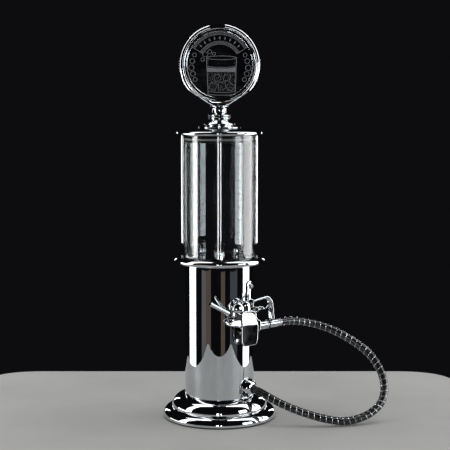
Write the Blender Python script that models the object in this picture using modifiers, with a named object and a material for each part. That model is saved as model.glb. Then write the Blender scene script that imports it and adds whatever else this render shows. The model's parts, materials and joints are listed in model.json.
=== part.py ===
"""Chrome bar drink dispenser shaped like an old visible filling-station pump.

A stepped base carries a mirror column and a collar. A clear canister stands in the collar and a lid with
a round sign closes it. The drink runs down a feed tube inside the column, out through an elbow near the
base and along a hose to a hand nozzle, which hangs in a holster on the column.

Metres, +Z up, front towards -Y. The origin is the centre of the underside of the base pad.
"""

import math

import bmesh
import bpy
from mathutils import Matrix, Vector

GAP = 0.0003
HOLE_GAP = 0.0004
BIG_STEPS = 36
SMALL_STEPS = 16

# Base
PAD_THICKNESS = 0.0015
PAD_INSET = 0.0010
LOWER_TIER_REACH = 0.0110
LOWER_TIER_HEIGHT = 0.0130
UPPER_TIER_REACH = 0.0162
UPPER_TIER_HEIGHT = 0.0146
BASE_WALL = 0.0020
WEIGHT_HEIGHT = 0.0070
BASE_SCREW_COUNT = 3
BASE_SCREW_RADIUS = 0.0020
BASE_SCREW_HEAD_RADIUS = 0.0036
BASE_SCREW_HEAD_HEIGHT = 0.0024

# Column
COLUMN_RADIUS = 0.0423
COLUMN_WALL = 0.0012
COLUMN_LENGTH = 0.1617
FOOT_HEIGHT = 0.0044
FOOT_WIDTH = 0.0130

# Canister and its collar
CANISTER_RADIUS = 0.0470
CANISTER_WALL = 0.0033
CANISTER_LENGTH = 0.1490
CANISTER_FLOOR = 0.0030
COLLAR_OVERHANG = 0.0084
COLLAR_DECK = 0.0044
COLLAR_LIP_HEIGHT = 0.0032
COLLAR_SPIGOT = 0.0090
COLLAR_SPIGOT_WALL = 0.0020
GASKET_THICKNESS = 0.0008
GASKET_WIDTH = 0.0110
FLOOR_SCREW_COUNT = 3
FLOOR_SCREW_CIRCLE = 0.0237
FLOOR_SCREW_TURN = 2.7
FLOOR_SCREW_RADIUS = 0.0015
FLOOR_SCREW_HEAD_RADIUS = 0.0029
FLOOR_SCREW_HEAD_HEIGHT = 0.0065

# Drain, feed tube and outlet
DRAIN_FLANGE_RADIUS = 0.0068
DRAIN_SHANK_RADIUS = 0.0044
DRAIN_BARB_RADIUS = 0.0041
DRAIN_BORE_RADIUS = 0.0024
DRAIN_BARB_LENGTH = 0.0120
DRAIN_NUT_RADIUS = 0.0085
DRAIN_NUT_HEIGHT = 0.0040
STRAINER_HEIGHT = 0.0035
FEED_TUBE_WALL = 0.0015
FEED_TUBE_LAP = 0.0090
CLAMP_WIDTH = 0.0040
CLAMP_THICKNESS = 0.0010
OUTLET_AZIMUTH = 54.0
OUTLET_RISE = 0.0121
ELBOW_RADIUS = 0.0045
ELBOW_WALL = 0.0012
ELBOW_INSET = 0.0200
ELBOW_RISE = 0.0240
ELBOW_BEND = 0.0100
ELBOW_DROOP = 14.0
ELBOW_REACH = 0.0070
ELBOW_MITRE = 0.0030
ROSETTE_RADIUS = 0.0116
ROSETTE_HEIGHT = 0.0085
ROSETTE_ROOT = 0.0040
OUTLET_NUT_RADIUS = 0.0072
OUTLET_NUT_WIDTH = 0.0040

# Hose: outer radius over its wire sheath, and the route of its centre line. It leaves the elbow square,
# lies on the table at the low point of its loop and comes back square to the ferrule of the nozzle.
HOSE_RADIUS = 0.0053
HOSE_POINTS = 24
HOSE_ROUTE = (
    (0.0460, -0.0334, 0.0379),
    (0.0507, -0.0368, 0.0364),
    (0.0600, -0.0434, 0.0323),
    (0.0730, -0.0490, 0.0265),
    (0.0905, -0.0540, 0.0200),
    (0.1090, -0.0560, 0.0140),
    (0.1275, -0.0555, 0.0090),
    (0.1465, -0.0525, 0.0058),
    (0.1650, -0.0475, 0.0072),
    (0.1820, -0.0405, 0.0130),
    (0.1955, -0.0320, 0.0240),
    (0.2000, -0.0230, 0.0405),
    (0.1965, -0.0150, 0.0575),
    (0.1875, -0.0080, 0.0730),
    (0.1740, -0.0025, 0.0855),
    (0.1580, 0.0010, 0.0960),
    (0.1410, 0.0020, 0.1050),
    (0.1230, 0.0005, 0.1120),
    (0.1045, -0.0035, 0.1170),
    (0.0890, -0.0092, 0.1194),
    (0.0797, -0.0140, 0.1197),
    (0.0746, -0.0170, 0.1195),
)

# Lid and sign
LID_OVERHANG = 0.0055
LID_RIM_HEIGHT = 0.0050
LID_DOME_HEIGHT = 0.0080
LID_WALL = 0.0020
PLUG_DEPTH = 0.0085
PLUG_WALL = 0.0018
SEAL_THICKNESS = 0.0012
SEAL_WIDTH = 0.0030
LID_DISC_RADIUS = 0.0258
LID_DISC_THICKNESS = 0.0010
STEM_BELL_RADIUS = 0.0185
STEM_BEAD_RADIUS = 0.0130
STEM_NECK_RADIUS = 0.0084
STEM_TOP_RADIUS = 0.0108
STEM_HEIGHT = 0.0251
SIGN_BOLT_RADIUS = 0.0020
SIGN_BOLT_HEAD_RADIUS = 0.0045
SIGN_BOLT_HEAD_HEIGHT = 0.0030
SIGN_BOLT_GRIP = 0.0120
SIGN_RADIUS = 0.0486
SIGN_THICKNESS = 0.0160
SIGN_EDGE = 0.0042
SIGN_NECK_DROP = 0.0486
SIGN_RECESS_RADIUS = 0.0406
SIGN_RECESS_DEPTH = 0.0045
SIGN_FACE_THICKNESS = 0.0020
SIGN_YAW = 4.0

# Nozzle: x along the spout and grip, y towards the column, z up, from the nozzle's own zero point
NOZZLE_YAW = 30.0
NOZZLE_STANDOFF = 0.0097
NOZZLE_DROP = 0.0526
BODY_WIDTH = 0.0120
BODY_EDGE = 0.0012
BODY_OUTLINE = (
    (-0.0185, -0.0152),
    (-0.0188, -0.0114),
    (-0.0133, -0.0098),
    (-0.0079, 0.0001),
    (-0.0020, -0.0025),
    (-0.0008, 0.0095),
    (0.0010, 0.0122),
    (0.0085, 0.0126),
    (0.0112, 0.0106),
    (0.0116, 0.0025),
    (0.0158, -0.0005),
    (0.0162, -0.0045),
    (0.0190, -0.0095),
    (0.0238, -0.0127),
    (0.0238, -0.0242),
    (0.0020, -0.0248),
    (-0.0080, -0.0210),
)
SPOUT_ANGLE = 151.3
SPOUT_SOCKET = (-0.0105, -0.0047)
SPOUT_RADIUS = 0.0025
SPOUT_WALL = 0.0007
SPOUT_LENGTH = 0.0365
SPOUT_SOCKET_DEPTH = 0.0030
SPOUT_NUT_RADIUS = 0.0048
SPOUT_NUT_LENGTH = 0.0050
SPOUT_RING_RADIUS = 0.0037
SPOUT_RING_LENGTH = 0.0016
GRIP_ANGLE = 2.6
GRIP_DROP = -0.0190
GRIP_RADIUS = 0.0052
GRIP_LENGTH = 0.0123
GRIP_RING_RADIUS = 0.0055
GRIP_RING_LENGTH = 0.0016
COUPLING_RADIUS = 0.0049
COUPLING_LENGTH = 0.0117
FERRULE_RADIUS = 0.0043
FERRULE_LENGTH = 0.0052
GUARD_WIDTH = 0.0095
GUARD_THICKNESS = 0.0022
GUARD_FOOT_SPREAD = 0.0009
GUARD_ROUTE = (
    (0.0131, 0.0045),
    (0.0131, 0.0088),
    (0.0142, 0.0110),
    (0.0166, 0.0121),
    (0.0307, 0.0149),
    (0.0345, 0.0150),
    (0.0380, 0.0125),
    (0.0404, 0.0076),
    (0.0420, -0.0060),
)
TRIGGER_PIVOT = (0.0130, -0.0027)
TRIGGER_WIDTH = 0.0050
TRIGGER_THICKNESS = 0.0018
TRIGGER_ROUTE = (
    (0.0, 0.0),
    (0.0050, 0.0003),
    (0.0100, 0.0027),
    (0.0140, 0.0038),
    (0.0180, 0.0038),
    (0.0210, 0.0050),
    (0.0240, 0.0074),
)
TRIGGER_HUB_RADIUS = 0.0022
TRIGGER_BEAD_RADIUS = 0.0021
TRIGGER_BEAD_PLACE = (0.0145, 0.0050)
TRIGGER_PIN_RADIUS = 0.0009
SLOT_SIDE_GAP = 0.0004
VALVE_PLACE = 0.0198
VALVE_RADIUS = 0.0011
VALVE_TOP = -0.0037
VALVE_LENGTH = 0.0150
VALVE_TRAVEL = 0.0026

# Holster
POCKET_GAP = 0.0004
POCKET_FLOOR_THICKNESS = 0.0030
HOLSTER_PLATE = 0.0022
HOLSTER_ROOT = 0.0340
HOLSTER_OUTLINE = (
    (-0.0037, 0.0003),
    (0.0128, -0.0017),
    (0.0172, -0.0115),
    (0.0189, -0.0180),
    (0.0182, -0.0340),
    (0.0165, -0.0402),
    (-0.0015, -0.0415),
    (-0.0032, -0.0360),
)
STRIP_AZIMUTH = 57.0
STRIP_WIDTH = 0.0122
STRIP_THICKNESS = 0.0030
STRIP_BELOW = 0.0395
STRIP_ABOVE = 0.0335
HOLSTER_SCREW_OFFSETS = (-0.0335, 0.0270)
HOLSTER_SCREW_RADIUS = 0.0015
HOLSTER_SCREW_HEAD_RADIUS = 0.0029
HOLSTER_SCREW_HEAD_HEIGHT = 0.0016
HOLSTER_SCREW_LENGTH = 0.0075

# Heights and radii that follow from the values above
SHELL_BOTTOM = PAD_THICKNESS + GAP
BASE_TOP = LOWER_TIER_HEIGHT + UPPER_TIER_HEIGHT
UPPER_TIER_RADIUS = COLUMN_RADIUS + UPPER_TIER_REACH
BASE_RADIUS = UPPER_TIER_RADIUS + LOWER_TIER_REACH
COLUMN_INNER = COLUMN_RADIUS - COLUMN_WALL
COLUMN_BOTTOM = BASE_TOP + GAP
COLUMN_TOP = COLUMN_BOTTOM + COLUMN_LENGTH
FOOT_RADIUS = COLUMN_INNER - GAP
BASE_SCREW_CIRCLE = FOOT_RADIUS - FOOT_WIDTH / 2
OUTLET_HEIGHT = COLUMN_BOTTOM + OUTLET_RISE
ELBOW_TOP = OUTLET_HEIGHT + ELBOW_RISE
DECK_BOTTOM = COLUMN_TOP + GAP
DECK_TOP = DECK_BOTTOM + COLLAR_DECK
COLLAR_RADIUS = max(COLUMN_RADIUS, CANISTER_RADIUS) + COLLAR_OVERHANG
COLLAR_MIDDLE = DECK_BOTTOM + COLLAR_DECK * 0.85
GASKET_TOP = DECK_TOP + GAP + GASKET_THICKNESS
CANISTER_BOTTOM = GASKET_TOP + GAP
CANISTER_TOP = CANISTER_BOTTOM + CANISTER_LENGTH
CANISTER_INNER = CANISTER_RADIUS - CANISTER_WALL
FLOOR_TOP = CANISTER_BOTTOM + CANISTER_FLOOR
DRAIN_FLANGE_TOP = FLOOR_TOP + GAP + 0.0012
SHANK_BOTTOM = DECK_BOTTOM - GAP - DRAIN_NUT_HEIGHT - 0.0010
BARB_BOTTOM = SHANK_BOTTOM - DRAIN_BARB_LENGTH
FEED_TUBE_RADIUS = max(DRAIN_BARB_RADIUS, ELBOW_RADIUS) + GAP + FEED_TUBE_WALL
LID_BOTTOM = CANISTER_TOP + GAP
LID_RADIUS = CANISTER_RADIUS + LID_OVERHANG
LID_TOP = LID_BOTTOM + LID_DOME_HEIGHT
SEAL_RADIUS = CANISTER_INNER - GAP
PLUG_RADIUS = SEAL_RADIUS - SEAL_THICKNESS - GAP
PLUG_TOP = LID_BOTTOM - GAP
DISC_BOTTOM = LID_TOP + GAP
STEM_BOTTOM = DISC_BOTTOM + LID_DISC_THICKNESS + GAP
STEM_TOP = STEM_BOTTOM + STEM_HEIGHT
SIGN_CENTRE = STEM_TOP + GAP + SIGN_NECK_DROP
NOZZLE_REACH = COLUMN_RADIUS + NOZZLE_STANDOFF
NOZZLE_HEIGHT = COLUMN_TOP - NOZZLE_DROP
STRIP_BOTTOM = NOZZLE_HEIGHT - STRIP_BELOW
STRIP_TOP = NOZZLE_HEIGHT + STRIP_ABOVE
HOLSTER_SCREW_HEIGHTS = [NOZZLE_HEIGHT + offset for offset in HOLSTER_SCREW_OFFSETS]
POCKET_HALF = BODY_WIDTH / 2 + POCKET_GAP
BODY_LOW = min(z for x, z in BODY_OUTLINE)
POCKET_FLOOR = BODY_LOW - GAP


def clear_scene():
    for obj in list(bpy.data.objects):
        bpy.data.objects.remove(obj, do_unlink=True)


def new_collection(name):
    collection = bpy.data.collections.new(name)
    bpy.context.scene.collection.children.link(collection)
    return collection


def new_material(name, colour, roughness, metallic, alpha=1.0):
    material = bpy.data.materials.new(name)
    material.use_nodes = True
    shader = material.node_tree.nodes["Principled BSDF"]
    shader.inputs["Base Color"].default_value = (*colour, 1.0)
    shader.inputs["Roughness"].default_value = roughness
    shader.inputs["Metallic"].default_value = metallic
    shader.inputs["Alpha"].default_value = alpha
    return material


def direction(azimuth):
    """Unit vector at an angle in degrees from the front, -Y, round towards +X."""
    angle = math.radians(azimuth)
    return Vector((math.sin(angle), -math.cos(angle), 0.0))


def new_object(name, data, material, collection, parent=None):
    obj = bpy.data.objects.new(name, data)
    if material:
        obj.data.materials.append(material)
    collection.objects.link(obj)
    obj.parent = parent
    return obj


def new_empty(name, location, rotation=(0.0, 0.0, 0.0), parent=None):
    empty = bpy.data.objects.new(name, None)
    empty.location = location
    empty.rotation_euler = rotation
    empty.parent = parent
    empty.empty_display_size = 0.02
    parts.objects.link(empty)
    return empty


def turned(name, outline, material, ring=False, steps=BIG_STEPS, collection=None, parent=None):
    """A turned piece from (radius, height) points, which run down its outer side from the top.

    A ring is a closed outline that stays off the axis. Any other outline starts and ends on the axis.
    """
    mesh = bpy.data.meshes.new(name)
    edges = [(i, i + 1) for i in range(len(outline) - 1)]
    if ring:
        edges.append((len(outline) - 1, 0))
    mesh.from_pydata([(radius, 0.0, height) for radius, height in outline], edges, [])
    obj = new_object(name, mesh, material, collection or parts, parent)
    screw = obj.modifiers.new("turn", "SCREW")
    screw.steps = steps
    screw.render_steps = steps
    screw.use_merge_vertices = True
    screw.merge_threshold = 0.00005
    screw.use_smooth_shade = True
    return obj


def curve_object(name, points, material, collection, parent=None, closed=False, flat=False):
    curve = bpy.data.curves.new(name, "CURVE")
    curve.dimensions = "2D" if flat else "3D"
    spline = curve.splines.new("POLY")
    spline.points.add(len(points) - 1)
    for point, place in zip(spline.points, points):
        point.co = (*place, 0.0, 1.0) if flat else (*place, 1.0)
    spline.use_cyclic_u = closed
    return new_object(name, curve, material, collection, parent)


def as_mesh(obj):
    """Replaces a curve by a mesh with its caps welded on."""
    name = obj.name
    graph = bpy.context.evaluated_depsgraph_get()
    mesh = bpy.data.meshes.new_from_object(obj.evaluated_get(graph))
    form = bmesh.new()
    form.from_mesh(mesh)
    bmesh.ops.remove_doubles(form, verts=form.verts, dist=0.00001)
    bmesh.ops.recalc_face_normals(form, faces=form.faces)
    form.to_mesh(mesh)
    form.free()
    collection = obj.users_collection[0]
    parent = obj.parent
    place = obj.matrix_world.copy()
    curve = obj.data
    bpy.data.objects.remove(obj)
    bpy.data.curves.remove(curve)
    mesh.name = name
    result = bpy.data.objects.new(name, mesh)
    collection.objects.link(result)
    result.parent = parent
    if parent is None:
        result.matrix_world = place
    return result


def flat_piece(name, outline, thickness, material, collection=None, parent=None, edge=0.0, segments=2):
    """A flat outline, closed, in the object's XY plane and centred on it, with rounded edges."""
    obj = curve_object(name, outline, material, collection or parts, parent, closed=True, flat=True)
    obj.data.fill_mode = "BOTH"
    obj.data.extrude = thickness / 2
    obj = as_mesh(obj)
    if edge:
        bevel = obj.modifiers.new("edge", "BEVEL")
        bevel.width = edge
        bevel.segments = segments
        bevel.limit_method = "ANGLE"
        bevel.angle_limit = math.radians(50)
    return obj


def hollow_tube(name, points, radius, wall, material):
    """A tube along points, open at both ends."""
    obj = curve_object(name, points, material, parts)
    obj.data.bevel_depth = radius
    obj.data.bevel_resolution = 3
    obj.data.use_fill_caps = False
    obj = as_mesh(obj)
    solid = obj.modifiers.new("wall", "SOLIDIFY")
    solid.thickness = wall
    solid.offset = -1.0
    return obj


def ribbon(name, route, width, thickness, material, parent):
    """A bent strip: a route of (x, z) points, widened along Y and thickened."""
    mesh = bpy.data.meshes.new(name)
    form = bmesh.new()
    near = [form.verts.new((x, -width / 2, z)) for x, z in route]
    far = [form.verts.new((x, width / 2, z)) for x, z in route]
    for i in range(len(route) - 1):
        form.faces.new((near[i], near[i + 1], far[i + 1], far[i]))
    form.to_mesh(mesh)
    form.free()
    obj = new_object(name, mesh, material, parts, parent)
    solid = obj.modifiers.new("sheet", "SOLIDIFY")
    solid.thickness = thickness
    solid.offset = 0.0
    solid.use_even_offset = True
    return obj


def cylinder_mesh(name, radius, length, sides):
    """A closed cylinder that stands on the object's origin along +Z."""
    mesh = bpy.data.meshes.new(name)
    form = bmesh.new()
    bmesh.ops.create_cone(
        form,
        cap_ends=True,
        segments=sides,
        radius1=radius,
        radius2=radius,
        depth=length,
        matrix=Matrix.Translation((0.0, 0.0, length / 2)),
    )
    form.to_mesh(mesh)
    form.free()
    return mesh


def cylinder(name, radius, length, location, aim=(0.0, 0.0, 1.0), sides=SMALL_STEPS, parent=None):
    """A cylinder for cutting or joining, from location along aim."""
    obj = new_object(name, cylinder_mesh(name, radius, length, sides), None, cutters, parent)
    obj.location = location
    obj.rotation_euler = Vector(aim).to_track_quat("Z", "Y").to_euler()
    return obj


def block(name, low, high, parent=None):
    """A box for cutting, from its low corner to its high corner."""
    mesh = bpy.data.meshes.new(name)
    form = bmesh.new()
    bmesh.ops.create_cube(form, size=1.0)
    size = Vector(high) - Vector(low)
    bmesh.ops.scale(form, vec=size, verts=form.verts)
    form.to_mesh(mesh)
    form.free()
    obj = new_object(name, mesh, None, cutters, parent)
    obj.location = (Vector(low) + Vector(high)) / 2
    return obj


def combine(obj, other, operation):
    """Cuts, joins or intersects obj with other, which moves to the cutters."""
    boolean = obj.modifiers.new(other.name, "BOOLEAN")
    boolean.operation = operation
    boolean.object = other
    other.hide_render = True
    other.display_type = "WIRE"


def cut(obj, *tools):
    for tool in tools:
        combine(obj, tool, "DIFFERENCE")


def arc(centre, radius, start, end, count):
    """Points on a circle, from the start angle to the end angle in degrees."""
    angles = [math.radians(start + (end - start) * i / count) for i in range(count + 1)]
    return [(centre[0] + radius * math.cos(a), centre[1] + radius * math.sin(a)) for a in angles]


def quarter_bead(inner, outer, low, high, count):
    """A convex quarter round from its top at the inner radius down to the outer radius."""
    angles = [math.pi / 2 * (1 - i / count) for i in range(count + 1)]
    return [(inner + (outer - inner) * math.cos(a), low + (high - low) * math.sin(a)) for a in angles]


def smooth_route(route, count):
    """Evenly spaced points on a smooth curve through the route's points."""
    knots = [Vector(point) for point in route]
    knots = [2 * knots[0] - knots[1], *knots, 2 * knots[-1] - knots[-2]]
    fine = []
    for a, b, c, d in zip(knots, knots[1:], knots[2:], knots[3:]):
        for i in range(20):
            t = i / 20
            fine.append(
                0.5 * (2 * b + (c - a) * t + (2 * a - 5 * b + 4 * c - d) * t**2 + (3 * b - a - 3 * c + d) * t**3)
            )
    fine.append(knots[-2])
    lengths = [0.0]
    for a, b in zip(fine, fine[1:]):
        lengths.append(lengths[-1] + (b - a).length)
    points = []
    place = 0
    for i in range(count):
        wanted = lengths[-1] * i / (count - 1)
        while place < len(fine) - 2 and lengths[place + 1] < wanted:
            place += 1
        share = (wanted - lengths[place]) / (lengths[place + 1] - lengths[place])
        points.append(fine[place].lerp(fine[place + 1], share))
    return points


def circle_places(count, radius, first_azimuth):
    return [direction(first_azimuth + 360 * i / count) * radius for i in range(count)]


def pan_screw(name, place, aim, head_radius, head_height, shank_radius, shank_length, material, parent=None):
    """A domed screw: head beyond place along aim, shank behind it."""
    outline = [
        (0.0, head_height),
        (head_radius * 0.55, head_height * 0.88),
        (head_radius * 0.9, head_height * 0.45),
        (head_radius, 0.0),
        (shank_radius, 0.0),
        (shank_radius, -shank_length),
        (0.0, -shank_length),
    ]
    obj = turned(name, outline, material, steps=12, parent=parent)
    obj.location = place
    obj.rotation_euler = Vector(aim).to_track_quat("Z", "Y").to_euler()
    return obj


def hex_nut(name, radius, height, bore, place, aim, material, parent=None):
    """A six-sided nut with a round bore, from place along aim."""
    nut = new_object(name, cylinder_mesh(name, radius, height, 6), material, parts, parent)
    nut.location = place
    nut.rotation_euler = Vector(aim).to_track_quat("Z", "Y").to_euler()
    start = Vector(place) - Vector(aim) * 0.0010
    cut(nut, cylinder(f"{name}_bore", bore, height + 0.0020, start, aim, SMALL_STEPS, parent))
    return nut


def make_base():
    pad_radius = BASE_RADIUS - PAD_INSET
    turned("base_pad", [(0.0, PAD_THICKNESS), (pad_radius, PAD_THICKNESS), (pad_radius, 0.0), (0.0, 0.0)], felt)

    weight_low = PAD_THICKNESS + GAP
    weight_radius = BASE_RADIUS - LOWER_TIER_REACH + 0.0020
    weight_top = weight_low + WEIGHT_HEIGHT
    turned(
        "base_weight",
        [(0.0, weight_top), (weight_radius, weight_top), (weight_radius, weight_low), (0.0, weight_low)],
        cast,
    )

    deck_inner = BASE_SCREW_CIRCLE - BASE_SCREW_HEAD_RADIUS - 0.0020
    wall = BASE_WALL
    outer = [(deck_inner, BASE_TOP), (COLUMN_RADIUS + 0.0010, BASE_TOP)]
    outer += quarter_bead(COLUMN_RADIUS + 0.0020, UPPER_TIER_RADIUS, LOWER_TIER_HEIGHT, BASE_TOP - 0.0002, 4)
    outer += quarter_bead(UPPER_TIER_RADIUS + 0.0005, BASE_RADIUS, 0.0030, LOWER_TIER_HEIGHT - 0.0003, 3)
    outer.append((BASE_RADIUS, SHELL_BOTTOM))
    inner = [
        (BASE_RADIUS - wall, SHELL_BOTTOM),
        (BASE_RADIUS - wall - 0.0004, 0.0045),
        (UPPER_TIER_RADIUS + 0.0036, LOWER_TIER_HEIGHT - wall - 0.0014),
        (UPPER_TIER_RADIUS - wall - 0.0006, LOWER_TIER_HEIGHT - wall),
        (UPPER_TIER_RADIUS - wall - 0.0030, BASE_TOP - wall - 0.0080),
        (COLUMN_RADIUS - 0.0010, BASE_TOP - wall),
        (deck_inner, BASE_TOP - wall),
    ]
    shell = turned("base_shell", outer + inner, chrome, ring=True)

    foot_low = COLUMN_BOTTOM
    foot_top = foot_low + FOOT_HEIGHT
    foot_inner = FOOT_RADIUS - FOOT_WIDTH
    foot = turned(
        "column_foot",
        [(foot_inner, foot_top), (FOOT_RADIUS, foot_top), (FOOT_RADIUS, foot_low), (foot_inner, foot_low)],
        cast,
        ring=True,
        steps=28,
    )
    head_top = BASE_TOP - BASE_WALL - GAP
    shank = BASE_WALL + 2 * GAP + FOOT_HEIGHT * 0.7
    for number, place in enumerate(circle_places(BASE_SCREW_COUNT, BASE_SCREW_CIRCLE, 20.0), 1):
        point = Vector((place.x, place.y, head_top))
        pan_screw(
            f"base_screw_{number}",
            point,
            (0.0, 0.0, -1.0),
            BASE_SCREW_HEAD_RADIUS,
            BASE_SCREW_HEAD_HEIGHT,
            BASE_SCREW_RADIUS,
            shank,
            steel,
        )
        hole = cylinder(
            f"base_screw_hole_{number}",
            BASE_SCREW_RADIUS + HOLE_GAP,
            shank + 2 * GAP + 0.0010,
            point - Vector((0.0, 0.0, 0.0010)),
            sides=12,
        )
        cut(shell, hole)
        cut(foot, hole)


def make_column():
    column = turned(
        "column_tube",
        [
            (COLUMN_INNER, COLUMN_TOP),
            (COLUMN_RADIUS, COLUMN_TOP),
            (COLUMN_RADIUS, COLUMN_BOTTOM),
            (COLUMN_INNER, COLUMN_BOTTOM),
        ],
        chrome,
        ring=True,
        steps=40,
    )
    aim = direction(OUTLET_AZIMUTH)
    start = aim * (COLUMN_INNER - 0.0050) + Vector((0.0, 0.0, OUTLET_HEIGHT))
    cut(column, cylinder("outlet_hole", ELBOW_RADIUS + HOLE_GAP, 0.0120, start, aim))
    aim = direction(STRIP_AZIMUTH)
    for number, height in enumerate(HOLSTER_SCREW_HEIGHTS, 1):
        start = aim * (COLUMN_INNER - 0.0050) + Vector((0.0, 0.0, height))
        cut(column, cylinder(f"holster_hole_{number}", HOLSTER_SCREW_RADIUS + HOLE_GAP, 0.0120, start, aim, 10))


def make_collar():
    lip_inner = CANISTER_RADIUS + GAP
    lip_top = DECK_TOP + COLLAR_LIP_HEIGHT
    spigot_outer = COLUMN_INNER - GAP
    spigot_inner = spigot_outer - COLLAR_SPIGOT_WALL
    spigot_low = DECK_BOTTOM - COLLAR_SPIGOT
    bead_inner = COLLAR_RADIUS - 0.0052
    outline = [(lip_inner, DECK_TOP), (lip_inner, lip_top)]
    outline += [(bead_inner - 0.0004, lip_top + 0.0006)]
    outline += quarter_bead(bead_inner, COLLAR_RADIUS, COLLAR_MIDDLE, lip_top + 0.0004, 3)[1:]
    under = quarter_bead(bead_inner, COLLAR_RADIUS, COLLAR_MIDDLE, DECK_BOTTOM - 0.0006, 3)
    outline += list(reversed(under))[1:]
    outline += [
        (COLUMN_RADIUS + 0.0012, DECK_BOTTOM - 0.0008),
        (COLUMN_RADIUS + 0.0006, DECK_BOTTOM),
        (spigot_outer, DECK_BOTTOM),
        (spigot_outer, spigot_low),
        (spigot_inner, spigot_low),
        (spigot_inner, DECK_BOTTOM),
        (DRAIN_SHANK_RADIUS + HOLE_GAP, DECK_BOTTOM),
        (DRAIN_SHANK_RADIUS + HOLE_GAP, DECK_TOP),
    ]
    collar = turned("collar_flange", outline, chrome, ring=True)

    gasket_outer = CANISTER_RADIUS - GAP
    turned(
        "canister_gasket",
        [
            (gasket_outer - GASKET_WIDTH, GASKET_TOP),
            (gasket_outer, GASKET_TOP),
            (gasket_outer, DECK_TOP + GAP),
            (gasket_outer - GASKET_WIDTH, DECK_TOP + GAP),
        ],
        rubber,
        ring=True,
        steps=28,
    )
    turned(
        "canister_tube",
        [
            (CANISTER_INNER, CANISTER_TOP),
            (CANISTER_RADIUS, CANISTER_TOP),
            (CANISTER_RADIUS, CANISTER_BOTTOM),
            (CANISTER_INNER, CANISTER_BOTTOM),
        ],
        acrylic,
        ring=True,
        steps=40,
    )
    floor_outer = CANISTER_INNER - GAP
    hole_radius = DRAIN_SHANK_RADIUS + HOLE_GAP
    floor = turned(
        "canister_floor",
        [
            (hole_radius, FLOOR_TOP),
            (floor_outer, FLOOR_TOP),
            (floor_outer, CANISTER_BOTTOM),
            (hole_radius, CANISTER_BOTTOM),
        ],
        acrylic,
        ring=True,
        steps=32,
    )
    seat = FLOOR_TOP + GAP
    shank = seat - DECK_BOTTOM + 0.0030
    for number, place in enumerate(circle_places(FLOOR_SCREW_COUNT, FLOOR_SCREW_CIRCLE, FLOOR_SCREW_TURN), 1):
        point = Vector((place.x, place.y, seat))
        pan_screw(
            f"floor_screw_{number}",
            point,
            (0.0, 0.0, 1.0),
            FLOOR_SCREW_HEAD_RADIUS,
            FLOOR_SCREW_HEAD_HEIGHT,
            FLOOR_SCREW_RADIUS,
            shank,
            steel,
        )
        low = Vector((place.x, place.y, seat - shank - 0.0010))
        hole = cylinder(f"floor_screw_hole_{number}", FLOOR_SCREW_RADIUS + HOLE_GAP, shank + 0.0020, low, sides=10)
        cut(collar, hole)
        cut(floor, hole)


def make_drain():
    seat = FLOOR_TOP + GAP
    outline = [
        (DRAIN_BORE_RADIUS, DRAIN_FLANGE_TOP),
        (DRAIN_FLANGE_RADIUS, DRAIN_FLANGE_TOP),
        (DRAIN_FLANGE_RADIUS, seat),
        (DRAIN_SHANK_RADIUS, seat),
        (DRAIN_SHANK_RADIUS, SHANK_BOTTOM),
        (DRAIN_BARB_RADIUS, SHANK_BOTTOM),
        (DRAIN_BARB_RADIUS, BARB_BOTTOM + 0.0015),
        (DRAIN_BARB_RADIUS - 0.0006, BARB_BOTTOM),
        (DRAIN_BORE_RADIUS, BARB_BOTTOM),
    ]
    turned("drain_fitting", outline, brass, ring=True, steps=SMALL_STEPS)

    nut_top = DECK_BOTTOM - GAP
    nut_low = nut_top - DRAIN_NUT_HEIGHT
    bore = DRAIN_SHANK_RADIUS + GAP
    hex_nut("drain_nut", DRAIN_NUT_RADIUS, DRAIN_NUT_HEIGHT, bore, (0.0, 0.0, nut_low), (0.0, 0.0, 1.0), brass)

    low = DRAIN_FLANGE_TOP + GAP
    top = low + STRAINER_HEIGHT
    strainer = turned(
        "drain_strainer",
        [
            (0.0, top),
            (DRAIN_FLANGE_RADIUS * 0.6, top - 0.0004),
            (DRAIN_FLANGE_RADIUS * 0.9, top - 0.0016),
            (DRAIN_FLANGE_RADIUS * 0.9, low),
            (DRAIN_FLANGE_RADIUS * 0.9 - 0.0010, low),
            (DRAIN_FLANGE_RADIUS * 0.9 - 0.0010, top - 0.0022),
            (0.0, top - 0.0012),
        ],
        steel,
        steps=SMALL_STEPS,
    )
    half = DRAIN_FLANGE_RADIUS + 0.0010
    cut(
        strainer,
        block("strainer_slot_x", (-half, -0.0006, low - 0.0010), (half, 0.0006, low + 0.0012)),
        block("strainer_slot_y", (-0.0006, -half, low - 0.0010), (0.0006, half, low + 0.0012)),
    )


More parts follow.
